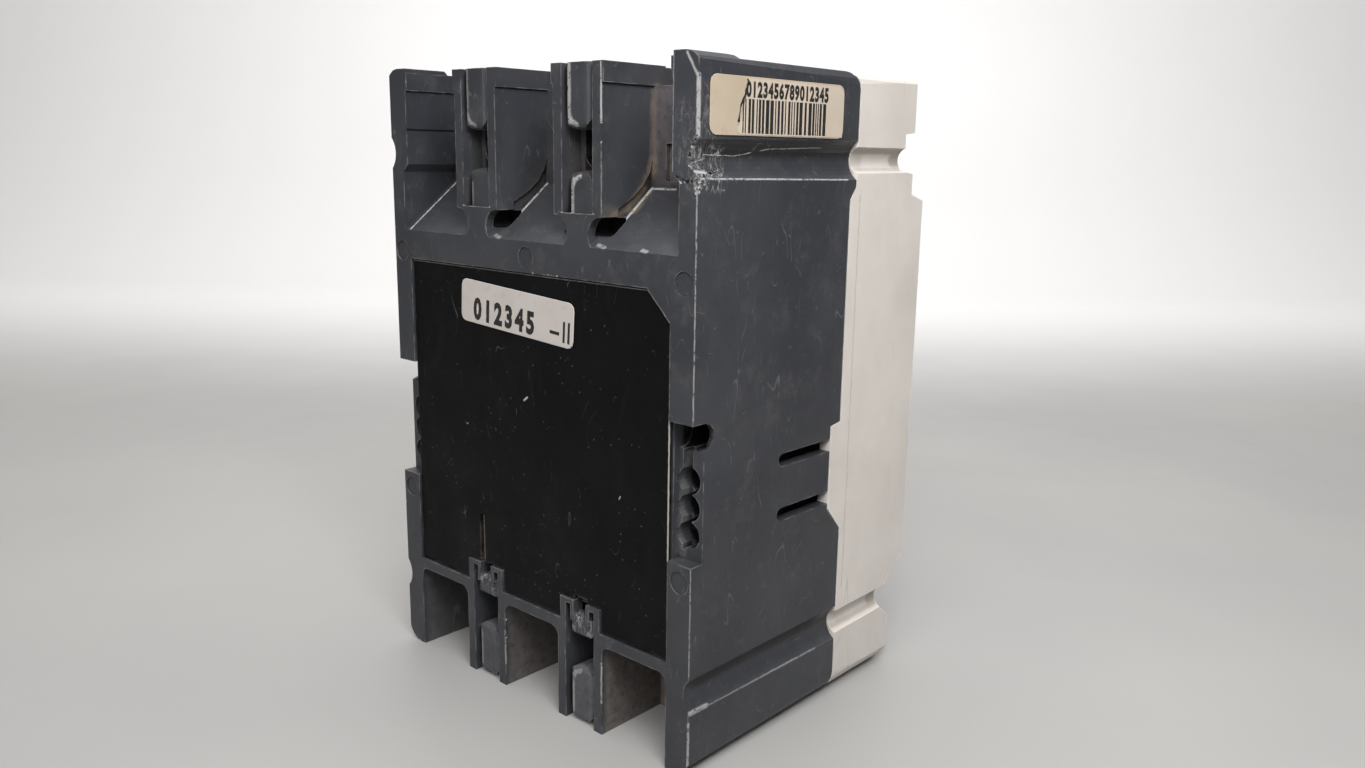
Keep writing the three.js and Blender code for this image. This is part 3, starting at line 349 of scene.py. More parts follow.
# Dry dirt: low corner, high corner, soft edge in mm, colour, strength.
SOILED = (
    (at_rear(-44.6, 19.5, 126.0), at_rear(-25.6, 15.5, 147.0), 1.0, (0.122, 0.103, 0.100), 0.8),
    (at_rear(-45.6, 16.0, 124.0), at_rear(-38.0, 11.0, 128.2), 1.2, (0.170, 0.130, 0.088), 0.7),
    (at_rear(-25.1, 4.5, 118.8), at_rear(-24.5, 0.2, 122.0), 0.8, (0.130, 0.115, 0.085), 0.6),
    (at_rear(12.7, 12.8, 120.0), at_rear(22.4, 1.8, 137.0), 0.8, (0.050, 0.050, 0.042), 0.5),
    (at_rear(-22.2, 12.8, 120.0), at_rear(-12.5, 1.8, 152.0), 0.8, (0.062, 0.054, 0.046), 0.5),
    (at_rear(-45.0, 22.0, -0.5), at_rear(-24.8, 1.0, 23.0), 1.2, (0.165, 0.138, 0.122), 0.85),
    (at_rear(-10.1, 22.0, -0.5), at_rear(10.1, 1.0, 23.0), 1.2, (0.140, 0.120, 0.106), 0.85),
    (at_rear(24.8, 22.0, -0.5), at_rear(45.0, 1.0, 23.0), 1.2, (0.085, 0.078, 0.074), 0.8),
    (at_rear(13.3, 9.0, 0.0), at_rear(21.7, 0.2, 14.6), 0.5, (0.062, 0.063, 0.068), 0.8),
    (at_rear(-21.7, 9.0, 0.0), at_rear(-13.3, 0.2, 14.6), 0.5, (0.075, 0.076, 0.080), 0.8),
    (at_rear(17.8, 2.4, 31.0), at_rear(19.9, 1.0, 43.8), 0.2, (0.260, 0.205, 0.150), 0.9),
)
# Dust gathered along curves: start, end, reach to each side in mm, colour, strength.
DUSTY_LINES = (
    (at_rear(-25.0, 16.0, 147.0), at_rear(-25.0, 15.6, 131.0), 1.6, (0.130, 0.105, 0.090), 0.7),
    (at_rear(-25.0, 15.6, 131.0), at_rear(-25.0, 13.4, 125.6), 2.0, (0.150, 0.115, 0.085), 0.85),
    (at_rear(-25.0, 13.4, 125.6), at_rear(-25.0, 9.0, 121.4), 2.2, (0.160, 0.122, 0.088), 0.85),
    (at_rear(-25.0, 9.0, 121.4), at_rear(-25.0, 3.5, 119.4), 1.7, (0.130, 0.105, 0.080), 0.8),
    (at_rear(10.0, 14.6, 128.0), at_rear(10.0, 8.0, 121.4), 1.6, (0.060, 0.055, 0.052), 0.6),
    (at_rear(-46.0, 3.5, 50.0), at_rear(-45.6, 5.5, 71.0), 1.8, (0.085, 0.084, 0.083), 0.8),
)
# Painted shade, nearly black, inside holes and slots and along the two side grooves: low corner, high corner,
# soft edge in mm, strength.
PAINTED_SHADE_BOXES = (
    (at_rear(-51.0, 15.0, 50.0), at_rear(-47.6, 4.6, 71.0), 0.5, 0.97),
    (at_rear(-47.6, 15.0, 50.0), at_rear(-43.0, 7.4, 71.0), 0.6, 0.95),
    (at_rear(-51.0, 17.0, 72.0), at_rear(-43.0, 4.6, 79.0), 0.5, 0.97),
    (at_rear(-51.4, 54.0, 132.4), at_rear(-46.0, 3.0, 136.4), 0.9, 0.8),
    (at_rear(-51.4, 54.0, 19.6), at_rear(-46.0, 2.0, 23.6), 0.9, 0.75),
    (at_rear(-21.6, 18.5, 129.0), at_rear(-14.0, 4.9, 140.4), 0.4, 0.97),
    (at_rear(13.4, 18.5, 129.0), at_rear(20.9, 4.9, 140.4), 0.4, 0.97),
)
# Cracks, and one painted shadow line under a step, nearly black: start, end, reach to each side in mm.
CRACKS_AND_SHADOW_LINES = (
    (at_rear(-41.5, 15.5, 127.0), at_rear(-44.6, 15.5, 130.4), 0.5),
    (at_rear(-51.7, 0.2, 128.0), at_rear(-49.0, 0.0, 127.6), 0.45),
    (at_rear(-49.0, 0.0, 127.6), at_rear(-46.2, 0.0, 128.6), 0.25),
    # Painted shadow line under the proud upper band of the left pocket's outer wall.
    (at_rear(45.0, 0.3, 137.7), at_rear(45.0, 15.0, 137.7), 0.35),
)


NEARLY_BLACK = (0.002, 0.002, 0.002)


def slate_moulding():
    f = Finish("slate_moulding")
    f.shader.inputs["Specular IOR Level"].default_value = 0.4
    shaken = f.wavering(1.4, 2.5)
    trembling = f.wavering(0.3, 2.0)
    tone = f.mottled(28, (0.0250, 0.0262, 0.0315), (0.0365, 0.0378, 0.0430))
    tone = f.mix(f.step(f.noise(6, 5, 0.7), 0.5, 0.72, 0.45), tone, (0.060, 0.059, 0.060))
    tone = f.mix(f.step(f.noise(15, 4, 0.7), 0.56, 0.68, 0.4), tone, (0.024, 0.025, 0.023))
    dust = f.times(f.recesses(), f.step(f.noise(9, 4, 0.6), 0.35, 0.75))
    tone = f.mix(f.times(dust, 0.3), tone, (0.075, 0.070, 0.066))
    crumbs = f.step(f.noise(1.6, 4, 0.7), 0.2, 0.55)
    for a, b, soft, colour, strength in SOILED:
        tone = f.mix(f.times(f.within(a, b, soft, shaken), crumbs, strength), tone, colour)
    for start, end, reach, colour, strength in DUSTY_LINES:
        tone = f.mix(f.times(f.near_line(start, end, reach, shaken), crumbs, strength), tone, colour)
    # Painted shade: deep recesses, found by ambient occlusion within 6 mm, are darkened nearly to black.
    deep_shade = f.step(f.occlusion(6.0, False), 0.42, 0.14)
    tone = f.mix(f.times(deep_shade, 0.92), tone, NEARLY_BLACK)
    # Painted shade: the boxes above turn the surface nearly black.
    for a, b, soft, strength in PAINTED_SHADE_BOXES:
        tone = f.mix(f.times(f.within(a, b, soft, f.place), strength), tone, NEARLY_BLACK)
    # Cracks, and the painted shadow line listed last in the table.
    for start, end, reach in CRACKS_AND_SHADOW_LINES:
        tone = f.mix(f.near_line(start, end, reach, trembling), tone, NEARLY_BLACK)
    marks = f.most(
        f.scratches((20, 35, 0), 7.0, 0.006, (0.54, 0.62), 0.3),
        f.scratches((70, 10, 40), 5.0, 0.005, (0.54, 0.62), 0.25),
        f.scratches((130, 60, 15), 4.0, 0.006, (0.56, 0.64), 0.35))
    specks = f.step(f.cells(1.8), 0.13, 0.05)
    specks = f.times(specks, f.step(f.noise(6, 3), 0.5, 0.66))
    tone = f.mix(f.times(f.most(marks, specks), 0.3), tone, (0.20, 0.197, 0.195))
    pale_marks = f.times(f.edges(0.35, 0.7, 4.0), 0.25)
    broken = f.step(f.noise(1.3, 4, 0.75), 0.34, 0.5)
    # Worn edges, and painted highlights along the ramps, lightened toward pale grey.
    for start, end, reach, strength in WORN_AND_HIGHLIGHT_LINES:
        pale_marks = f.most(pale_marks, f.times(f.near_line(start, end, reach, trembling), broken, strength))
    scuffs = f.most(
        f.scratches((0, 50, 20), 1.6, 0.03, (0.35, 0.5), 0.25),
        f.scratches((40, 0, 70), 1.2, 0.03, (0.35, 0.5), 0.3),
        f.step(f.noise(0.7, 4, 0.8), 0.56, 0.68))
    for a, b, soft, strength in SCUFFED:
        pale_marks = f.most(pale_marks, f.times(f.within(a, b, soft, shaken), scuffs, strength))
    tone = f.mix(pale_marks, tone, (0.36, 0.355, 0.345))
    rough = f.uneven(12, 0.1, 0.4)
    grain = f.bump(f.noise(0.35, 2, 0.6), 0.03)
    return f.done(tone, rough, f.bump(f.noise(4, 3), 0.05, grain))


def fresh_break():
    f = Finish("broken_moulding")
    tone = f.mix(f.step(f.noise(0.9, 4, 0.7), 0.4, 0.62), (0.045, 0.045, 0.048), (0.34, 0.335, 0.325))
    rough = f.uneven(1.0, 0.2, 0.55, detail=2)
    return f.done(tone, rough, f.bump(f.noise(0.5, 4, 0.7), 0.15))


# Grime on the cover: start, end, reach to each side in mm, strength.
COVER_DIRT = (
    (at_rear(-50.9, 54.0, 134.2), at_rear(-50.9, 75.0, 134.2), 1.5, 0.7),
    (at_rear(-50.4, 54.0, 129.4), at_rear(-50.4, 75.0, 129.4), 1.1, 0.5),
    (at_rear(-49.9, 54.0, 132.0), at_rear(-49.9, 58.0, 132.0), 2.4, 0.35),
    (at_rear(-49.9, 73.0, 132.0), at_rear(-49.9, 76.5, 132.0), 2.4, 0.75),
    (at_rear(-50.9, 54.0, 21.4), at_rear(-50.9, 75.0, 21.4), 1.5, 0.6),
    (at_rear(-50.4, 54.0, 17.0), at_rear(-50.4, 75.0, 17.0), 1.1, 0.45),
    (at_rear(-49.9, 73.0, 19.2), at_rear(-49.9, 76.5, 19.2), 2.4, 0.75),
    (at_rear(-52.4, 56.4, 28.0), at_rear(-52.4, 56.4, 124.0), 0.35, 0.4),
)


def beige_moulding():
    f = Finish("beige_moulding")
    tone = f.mottled(30, (0.53, 0.49, 0.45), (0.60, 0.56, 0.515))
    dust = f.times(f.recesses(6.0), f.step(f.noise(6, 4, 0.6), 0.3, 0.7))
    tone = f.mix(f.times(dust, 0.6), tone, (0.34, 0.30, 0.25))
    shaken = f.wavering(0.8, 2.5)
    for start, end, reach, strength in COVER_DIRT:
        tone = f.mix(f.times(f.near_line(start, end, reach, shaken), strength), tone, (0.25, 0.215, 0.175))
    specks = f.times(f.step(f.cells(3.4), 0.09, 0.04), f.step(f.noise(9, 2), 0.52, 0.64))
    marks = f.most(f.scratches((15, 60, 10), 12.0, 0.004), specks)
    tone = f.mix(f.times(marks, 0.45), tone, (0.27, 0.24, 0.21))
    pale_marks = f.edges(0.8, 0.6, 4.0)
    tone = f.mix(f.times(pale_marks, 0.4), tone, (0.74, 0.71, 0.67))
    rough = f.uneven(14, 0.1, 0.40)
    normal = f.bump(f.noise(0.4, 2, 0.6), 0.03)
    return f.done(tone, rough, normal)


# Depth of the insulation plate's outer face from the rear mounting face, in mm.
PLATE_DEPTH = 0.5
# Bare cut edges and nicks of the plate: start, end, reach to each side in mm, strength.
PLATE_NICKS = (
    (at_rear(-38.6, PLATE_DEPTH, 105.4), at_rear(-44.6, PLATE_DEPTH, 99.4), 0.42, 0.9),
    (at_rear(-44.7, PLATE_DEPTH, 99.4), at_rear(-44.7, PLATE_DEPTH, 80.0), 0.30, 0.45),
    (at_rear(-44.7, PLATE_DEPTH, 80.0), at_rear(-44.7, PLATE_DEPTH, 48.0), 0.34, 0.7),
    (at_rear(44.5, PLATE_DEPTH, 105.4), at_rear(-38.6, PLATE_DEPTH, 105.4), 0.22, 0.3),
    (at_rear(1.8, PLATE_DEPTH, 75.6), at_rear(0.6, PLATE_DEPTH, 76.5), 0.32, 0.8),
    (at_rear(-30.0, PLATE_DEPTH, 58.6), at_rear(-30.4, PLATE_DEPTH, 59.2), 0.28, 0.6),
    (at_rear(24.0, PLATE_DEPTH, 66.0), at_rear(23.7, PLATE_DEPTH, 66.2), 0.25, 0.5),
)


def black_fibre():
    f = Finish("black_fibre")
    f.shader.inputs["Specular IOR Level"].default_value = 0.12
    tone = f.mottled(34, (0.0014, 0.0014, 0.0016), (0.0030, 0.0030, 0.0032))
    smear = f.step(f.noise(16, 4, 0.7, 0.6, f.spot((0, 30, 0), (1, 1, 0.5))), 0.55, 0.75, 0.4)
    tone = f.mix(smear, tone, (0.0085, 0.0083, 0.0080))
    specks = f.most(
        f.times(f.step(f.cells(1.9), 0.16, 0.06), f.step(f.noise(8, 3), 0.45, 0.62)),
        f.scratches((0, 25, 40), 6.0, 0.004, (0.56, 0.64), 0.4))
    tone = f.mix(f.times(specks, 0.2), tone, (0.25, 0.245, 0.235))
    edge = f.times(f.step(f.occlusion(0.6, True), 0.9, 0.6), f.step(f.noise(5, 4), 0.35, 0.6))
    tone = f.mix(f.times(edge, 0.35), tone, (0.12, 0.115, 0.11))
    trembling = f.wavering(0.3, 1.6)
    for start, end, reach, strength in PLATE_NICKS:
        tone = f.mix(f.times(f.near_line(start, end, reach, trembling), strength), tone, (0.42, 0.39, 0.35))
    rough = f.uneven(10, 0.14, 0.46)
    normal = f.bump(f.noise(0.3, 3, 0.7), 0.03)
    return f.done(tone, rough, normal)


def paper(name, light, dark, stain):
    """Coated paper in two near tones, with stains in the third."""
    f = Finish(name)
    tone = f.mottled(8, light, dark, 0.65)
    blots = f.step(f.noise(3.5, 4, 0.7), 0.58, 0.74, 0.6)
    tone = f.mix(blots, tone, stain)
    rub = f.step(f.occlusion(0.5, True), 0.9, 0.5, 0.5)
    tone = f.mix(rub, tone, stain)
    rough = f.uneven(6, 0.12, 0.5)
    normal = f.bump(f.noise(0.5, 3, 0.6), 0.02)
    return f.done(tone, rough, normal)


def ink():
    f = Finish("label_ink")
    tone = f.mix(f.step(f.noise(0.7, 3, 0.7), 0.45, 0.7), (0.006, 0.006, 0.006), (0.022, 0.020, 0.018))
    return f.done(tone, f.uneven(1.5, 0.15, 0.45, detail=2))


def moulded(name, low, high, roughness, grain=0.03):
    f = Finish(name)
    tone = f.mottled(6, low, high)
    light = tuple(min(1.0, 3 * v + 0.05) for v in high)
    tone = f.mix(f.times(f.edges(0.5, 0.6, 2.0), 0.4), tone, light)
    dust = f.times(f.recesses(3.0), f.step(f.noise(3, 3), 0.3, 0.7))
    tone = f.mix(f.times(dust, 0.3), tone, (0.12, 0.10, 0.085))
    rough = f.uneven(4, 0.12, roughness)
    return f.done(tone, rough, f.bump(f.noise(0.3, 2, 0.6), grain))


def brushed(name, low, high, tarnish, roughness):
    f = Finish(name, metallic=1.0)
    lines = f.noise(0.5, 3, 0.6, 0.0, f.spot(stretch=(1, 1, 0.06)))
    tone = f.mix(f.step(lines, 0.3, 0.7), low, high)
    patches = f.step(f.noise(5, 4, 0.65), 0.48, 0.7, 0.7)
    tone = f.mix(patches, tone, tarnish)
    rough = f.maths("ADD", f.times(f.most(patches, lines), 0.3), roughness)
    return f.done(tone, rough, f.bump(lines, 0.02))


FINISHES = {
    "base_moulding": slate_moulding(),
    "cover_moulding": beige_moulding(),
    "insulation_fibre": black_fibre(),
    "asset_label": paper("asset_label_film", (0.47, 0.44, 0.42), (0.52, 0.49, 0.465), (0.34, 0.30, 0.27)),
    "barcode_label": paper(
        "barcode_label_paper", (0.43, 0.365, 0.28), (0.48, 0.41, 0.325), (0.32, 0.25, 0.17)),
    "handle_moulding": moulded("handle_moulding", (0.008, 0.008, 0.009), (0.014, 0.014, 0.015), 0.36),
    "trip_button": moulded("trip_button_moulding", (0.30, 0.012, 0.008), (0.40, 0.02, 0.013), 0.38),
    "crossbar_moulding": moulded("crossbar_moulding", (0.09, 0.02, 0.012), (0.12, 0.03, 0.018), 0.5, 0.05),
    "copper": brushed("copper_strap", (0.42, 0.15, 0.075), (0.58, 0.24, 0.13), (0.20, 0.075, 0.04), 0.22),
    "steel": brushed("zinc_steel", (0.38, 0.39, 0.40), (0.55, 0.55, 0.56), (0.26, 0.25, 0.22), 0.24),
    "brass": brushed("brass_screw", (0.50, 0.34, 0.11), (0.66, 0.48, 0.19), (0.26, 0.17, 0.07), 0.22),
    "arc_chute": brushed("chute_plates", (0.14, 0.13, 0.12), (0.24, 0.23, 0.21), (0.10, 0.07, 0.05), 0.4),
}


def clothe(piece, finish):
    piece.data.materials.clear()
    piece.data.materials.append(finish)


SLOT_OF = {part["node"]: part["material_slot"] for part in frame["record"]["subparts"]}
for name, node in nodes.items():
    for slot in node.material_slots:
        slot.material = FINISHES[SLOT_OF[name]]


# ---- Rounded edges on the CAD nodes -------------------------------------------------

def round_edges(piece, width):
    weld = piece.modifiers.new("weld", "WELD")
    weld.merge_threshold = 2e-6
    flatten = piece.modifiers.new("flatten", "DECIMATE")
    flatten.decimate_type = "DISSOLVE"
    flatten.angle_limit = math.radians(1)
    bevel = piece.modifiers.new("bevel", "BEVEL")
    bevel.width = width * MM
    bevel.segments = 2
    bevel.limit_method = "ANGLE"
    bevel.angle_limit = math.radians(28)
    bevel.use_clamp_overlap = True
    bevel.harden_normals = False
    normals = piece.modifiers.new("normals", "WEIGHTED_NORMAL")
    normals.keep_sharp = True


EDGE_WIDTH = {"case_base": 0.35, "case_cover": 0.5, "handle": 0.5}
for name, node in nodes.items():
    round_edges(node, EDGE_WIDTH.get(name, 0.15))


# ---- Worn case base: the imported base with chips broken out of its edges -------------

def evaluated(piece):
    """Mesh of a piece with its modifiers applied."""
    bpy.context.view_layer.update()
    graph = bpy.context.evaluated_depsgraph_get()
    return bpy.data.meshes.new_from_object(piece.evaluated_get(graph), depsgraph=graph)


SHARD_CORNERS = 14


def shard(build, centre, radius, rng):
    """Adds one closed, angular, convex lump."""
    start = bmesh.new()
    for _ in range(SHARD_CORNERS):
        way = Vector([rng.gauss(0, 1) for _ in range(3)]).normalized()
        start.verts.new([way[k] * rng.uniform(0.7, 1.0) * radius * MM + centre[k] for k in range(3)])
    bmesh.ops.convex_hull(start, input=start.verts)
    loose = [v for v in start.verts if not v.link_faces]
    bmesh.ops.delete(start, geom=loose, context="VERTS")
    mesh = bpy.data.meshes.new("shard")
    start.to_mesh(mesh)
    start.free()
    build.from_mesh(mesh)
    bpy.data.meshes.remove(mesh)


# Broken places of the base: a stretch of edge, number of chips, least and largest radius in mm.
CHIPPED_EDGES = (
    (at_rear(-51.8, 0, 125.5), at_rear(-51.5, 0.6, 129.5), 9, 0.7, 1.4),
    (at_rear(-51.6, 0.2, 129.5), at_rear(-49.4, 0.2, 131.5), 5, 0.6, 1.1),
    (at_rear(-51.4, 2.0, 128.4), at_rear(-50.4, 6.0, 129.4), 6, 0.6, 1.3),
    (at_rear(-49.0, 0.0, 127.8), at_rear(-45.4, 0.0, 127.2), 5, 0.35, 0.7),
    (at_rear(-50.2, 0.2, 130.4), at_rear(-49.6, 0.4, 133.0), 5, 0.5, 0.9),
    (at_rear(-14.5, 0.3, 139.0), at_rear(-14.5, 0.3, 151.0), 9, 0.35, 0.75),
    (at_rear(-14.5, 1.2, 121.5), at_rear(-14.5, 1.2, 126.5), 5, 0.35, 0.6),
    (at_rear(-14.5, 0.6, 3.0), at_rear(-14.5, 0.6, 12.0), 5, 0.35, 0.6),
    (at_rear(-44.0, 0.2, 105.9), at_rear(30.0, 0.2, 105.9), 9, 0.2, 0.45),
    (at_rear(-49.6, 0.1, 132.0), at_rear(-51.4, 0.1, 136.5), 6, 0.35, 0.8),
    (at_rear(-52.0, 1.0, 127.4), at_rear(-52.1, 7.0, 127.4), 5, 0.4, 0.8),
    (at_rear(-51.8, 0, 137.0), at_rear(-51.8, 0, 148.0), 5, 0.25, 0.5),
    (at_rear(-51.8, 0, 80.0), at_rear(-51.8, 0, 122.0), 7, 0.2, 0.4),
    (at_rear(-51.8, 0, 26.0), at_rear(-51.8, 0, 46.0), 4, 0.2, 0.4),
    (at_rear(-44.4, 0, 131.0), at_rear(-44.4, 0, 152.0), 4, 0.25, 0.5),
    (at_rear(-24.9, 0, 128.0), at_rear(-24.9, 0, 152.0), 4, 0.25, 0.5),
    (at_rear(-10.0, 0, 128.0), at_rear(-10.0, 0, 152.0), 4, 0.25, 0.45),
    (at_rear(25.0, 0, 128.0), at_rear(25.0, 0, 152.0), 4, 0.25, 0.5),
    (at_rear(44.4, 0, 131.0), at_rear(44.4, 0, 150.0), 3, 0.25, 0.5),
    (at_rear(51.7, 0, 30.0), at_rear(51.7, 0, 125.0), 8, 0.25, 0.5),
    (at_rear(-50.0, 0, 0.2), at_rear(-46.0, 0, 0.2), 3, 0.3, 0.6),
    (at_rear(46.0, 0, 0.2), at_rear(50.0, 0, 0.2), 3, 0.4, 0.8),
    (at_rear(-24.9, 0, 4.0), at_rear(-24.9, 0, 20.0), 3, 0.25, 0.5),
    (at_rear(10.0, 0, 1.0), at_rear(10.0, 0, 20.0), 4, 0.3, 0.6),
    (at_rear(25.0, 0, 1.0), at_rear(25.0, 0, 20.0), 3, 0.25, 0.5),
)


def worn_base():
    rng = random.Random(11)
    build = bmesh.new()
    for start, end, count, least, most in CHIPPED_EDGES:
        for _ in range(count):
            centre = start.lerp(end, rng.random()) + mm(*(rng.uniform(-0.25, 0.25) for _ in range(3)))
            shard(build, centre, rng.uniform(least, most), rng)
    cutter_mesh = bpy.data.meshes.new("chips")
    build.to_mesh(cutter_mesh)
    build.free()
    cutter_mesh.materials.append(fresh_break())
    cutter = added("chips", cutter_mesh)
    base = added("worn_case_base", evaluated(nodes["case_base"]))
    broken = base.modifiers.new("chips", "BOOLEAN")
    broken.operation = "DIFFERENCE"
    broken.solver = "EXACT"
    broken.use_self = True
    broken.material_mode = "TRANSFER"
    broken.object = cutter
    chipped = evaluated(base)
    base.modifiers.clear()
    base.data = chipped
    bpy.data.objects.remove(cutter)
    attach(base, "case")
    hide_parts("case_base")


worn_base()


# ---- Printed labels -------------------------------------------------------------------

def sheet_piece(name, loops, place, across, up, thickness, finish):
    """Thin closed sheets from outlines in mm, drawn in the plane of `across` and `up`."""
    out = across.cross(up)
    build = bmesh.new()
    for loop in loops:
        rings = []
        for height in (0.0, thickness):
            rings.append([build.verts.new(place + across * u * MM + up * v * MM + out * height * MM)
                          for u, v in loop])
        lower, upper = rings
        build.faces.new(list(reversed(lower)))
        build.faces.new(upper)
        for i in range(len(loop)):
            j = (i + 1) % len(loop)
            build.faces.new((lower[i], lower[j], upper[j], upper[i]))
    bmesh.ops.triangulate(build, faces=[f for f in build.faces if len(f.verts) > 4])
    mesh = bpy.data.meshes.new(name)
    build.to_mesh(mesh)
    build.free()
    piece = added(name, mesh)
    clothe(piece, finish)
    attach(piece, "case")
    return piece


# Height of the built-in font's digits as a share of the font size.
DIGIT_HEIGHT = 0.729
# How far the outlines of the digits are fattened, as a share of the font size.
DIGIT_WEIGHT = 0.05


def digits(name, text, place, across, up, cap, pitch, finish, narrow):
    """A row of plain digits, `cap` mm high and `pitch` mm apart, as a thin mesh."""
    out = across.cross(up)
    turn = Matrix((across, up, out)).transposed().to_4x4()
    build = bmesh.new()
    size = cap / DIGIT_HEIGHT * MM
    for i, letter in enumerate(text):
        curve = bpy.data.curves.new(letter, "FONT")
        curve.body = letter
        curve.size = size
        curve.offset = DIGIT_WEIGHT * size
        curve.extrude = 0.02 * MM
        curve.resolution_u = 3
        curve.align_x = "CENTER"
        glyph = added(letter, curve)
        mesh = evaluated(glyph)
        mesh.transform(Matrix.Translation(place + across * (i + 0.5) * pitch * MM) @ turn
                       @ Matrix.Diagonal((narrow, 1, 1, 1)))
        build.from_mesh(mesh)
        bpy.data.objects.remove(glyph)
        bpy.data.meshes.remove(mesh)
    mesh = bpy.data.meshes.new(name)
    bmesh.ops.remove_doubles(build, verts=build.verts, dist=1e-6)
    build.to_mesh(mesh)
    build.free()
    piece = added(name, mesh)
    clothe(piece, finish)
    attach(piece, "case")
    return piece


def bar_loops(u0, u1, v0, v1, rng):
    """Upright bars of one to three unit widths, from u0 to u1."""
    unit = 0.36
    loops = []
    u = u0
    while u < u1 - 3 * unit:
        width = unit * rng.choice((1, 1, 2, 2, 3))
        loops.append([(u, v0), (u + width, v0), (u + width, v1), (u, v1)])
        u += width + unit * rng.choice((1, 1, 1.4, 2))
    return loops


# Side wall of the base, in mm: its distance from the middle at the rear face, and how
# much it leans outward over its depth.
SIDE_AT_REAR = 51.6
SIDE_DRAFT = 0.8
SIDE_DEPTH = 55.4
# Barcode label, in mm: depth of its rear end, height of its lower edge above the load
# end, and how far its printed film stands off the wall.
LABEL_DEPTH = 3.1
LABEL_FOOT = 136.6
LABEL_PROUD = 0.26


def labels():
    black = ink()
    tilt = math.radians(3.5)
    across = Vector((-math.cos(tilt), 0, -math.sin(tilt)))
    up = Vector((-math.sin(tilt), 0, math.cos(tilt)))
    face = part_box("asset_label")[1].y - 0.01 * MM
    centre = Vector((4.2 * MM, face, 96.3 * MM))
    corner = centre - across * 20.2 * MM - up * 5.2 * MM
    start = corner + across * 4.4 * MM + up * 1.25 * MM
    printed = digits("asset_digits", "012345", start, across, up, 5.1, 3.9, black, narrow=0.82)
    strokes = [[(32.6, 2.5), (35.8, 2.5), (35.8, 3.25), (32.6, 3.25)]]
    strokes += [[(u, 1.1), (u + 0.7, 1.1), (u + 0.7, 5.9), (u, 5.9)] for u in (37.0, 38.6)]
    marks = sheet_piece("asset_marks", strokes, corner, across, up, 0.03, black)

    rng = random.Random(5)
    draft = math.atan2(SIDE_DRAFT, SIDE_DEPTH)
    across = Vector((-math.sin(draft), -math.cos(draft), 0))
    up = Vector((0, 0, 1))
    out = across.cross(up)
    origin = at_rear(0, LABEL_DEPTH, LABEL_FOOT)
    origin.x = -(SIDE_AT_REAR + SIDE_DRAFT * LABEL_DEPTH / SIDE_DEPTH + LABEL_PROUD) * MM
    tear = [(11.2, 11.0), (11.6, 10.4), (11.0, 9.7), (10.5, 8.8), (10.9, 8.3), (10.1, 7.2), (9.6, 6.0),
            (9.1, 5.1), (8.7, 3.8), (8.9, 2.6), (8.3, 1.6), (8.6, 0.7)]
    tear = [(u + rng.uniform(-0.15, 0.15), v) for u, v in tear]
    film = [(9.0, 0.25), (44.2, 0.25), (44.45, 1.8), (44.4, 9.8), (43.0, 11.1), (11.7, 11.2)]
    film_piece = sheet_piece("barcode_film", [film + tear], origin, across, up, 0.06,
                             paper("barcode_film_paper", (0.50, 0.44, 0.37), (0.56, 0.50, 0.43),
                                   (0.38, 0.30, 0.22)))
    frayed = [(u - rng.uniform(0.15, 0.75), v + rng.uniform(-0.1, 0.1)) for u, v in tear]
    slivers = [[(a, b), (u, v), (w, t), (c, d)] for (u, v), (w, t), (a, b), (c, d)
               in zip(tear[:9], tear[1:10], frayed[:9], frayed[1:10])]
    curl = sheet_piece("barcode_film_curl", [list(reversed(loop)) for loop in slivers], origin, across, up,
                       0.09, black)
    face = origin + out * 0.05 * MM
    bars = sheet_piece("barcode_bars", bar_loops(9.7, 39.2, 0.5, 7.2, rng), face, across, up, 0.025, black)
    start = face + across * 10.6 * MM + up * 7.7 * MM
    row = digits("barcode_digits", "0123456789012345", start, across, up, 2.9, 1.76, black, narrow=0.76)


labels()


# ---- Floor and light ----------------------------------------------------------------

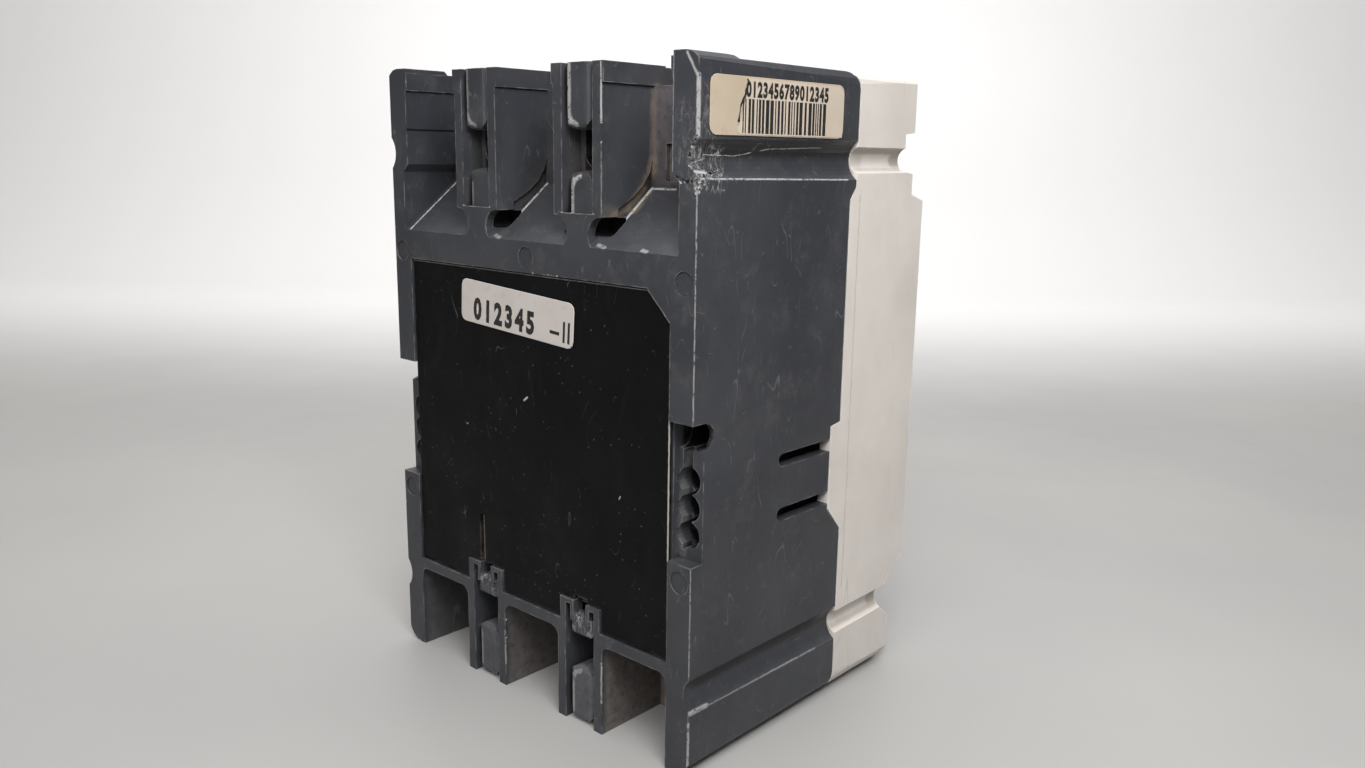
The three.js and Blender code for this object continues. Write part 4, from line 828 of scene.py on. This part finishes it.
def studio():
    """Floor that curves up into a backdrop on the far side of the object."""
    near, far, reach, bend = -1.6, 0.75, 3.0, 0.35
    profile = [(near, 0.0)] + [
        (far + bend * math.sin(a), bend * (1 - math.cos(a)))
        for a in (math.radians(90 * i / 12) for i in range(13))
    ] + [(far + bend, 3.0)]
    mesh = bpy.data.meshes.new("floor")
    build = bmesh.new()
    rows = [[build.verts.new((side * reach, run, rise)) for side in (-1, 1)] for run, rise in profile]
    for (a, b), (c, d) in zip(rows, rows[1:]):
        build.faces.new((a, b, d, c)).smooth = True
    build.to_mesh(mesh)
    build.free()
    floor = added("floor", mesh)
    floor.rotation_euler.z = math.radians(CAMERA_AZIMUTH)
    f = Finish("floor")
    tone = f.mix(f.step(f.noise(180, 3), 0.3, 0.7), (0.29, 0.285, 0.28), (0.315, 0.31, 0.30))
    split = f.add("ShaderNodeSeparateXYZ")
    f.feed(split.inputs["Vector"], f.place)
    far = f.most(f.step(split.outputs["Z"], 0.0, 0.2), f.step(split.outputs["Y"], 0.25, 0.75))
    tone = f.mix(far, tone, (0.80, 0.79, 0.785))
    clothe(floor, f.done(tone, f.uneven(60, 0.08, 0.45)))
    world = bpy.data.worlds.new("studio")
    bpy.context.scene.world = world
    world.use_nodes = True
    background = world.node_tree.nodes["Background"]
    background.inputs["Color"].default_value = (0.94, 0.95, 0.97, 1)
    background.inputs["Strength"].default_value = 0.21


def lamp(name, place, target, size, power, colour=(1, 1, 1)):
    data = bpy.data.lights.new(name, "AREA")
    data.shape = "RECTANGLE"
    data.size, data.size_y = size
    data.energy = power
    data.color = colour
    result = added(name, data)
    result.location = place
    result.rotation_mode = "QUATERNION"
    result.rotation_quaternion = (Vector(target) - Vector(place)).to_track_quat("-Z", "Y")


studio()
middle = (0, 0, 0.075)
lamp("overhead", (-0.1, 0.15, 0.9), middle, (0.9, 0.9), 5.5, (1.0, 0.98, 0.95))
lamp("key", (-0.3, 0.85, 0.6), middle, (0.6, 0.5), 4.4, (1.0, 0.99, 0.97))
lamp("side", (-0.23, 0.18, 0.32), (0, 0, 0.15), (0.16, 0.16), 1.45, (0.97, 0.98, 1.0))
lamp("backdrop", (0.15, -0.25, 0.9), (0.55, -0.65, 0.3), (1.2, 0.4), 9.0)


bpy.context.scene.view_settings.view_transform = "Standard"
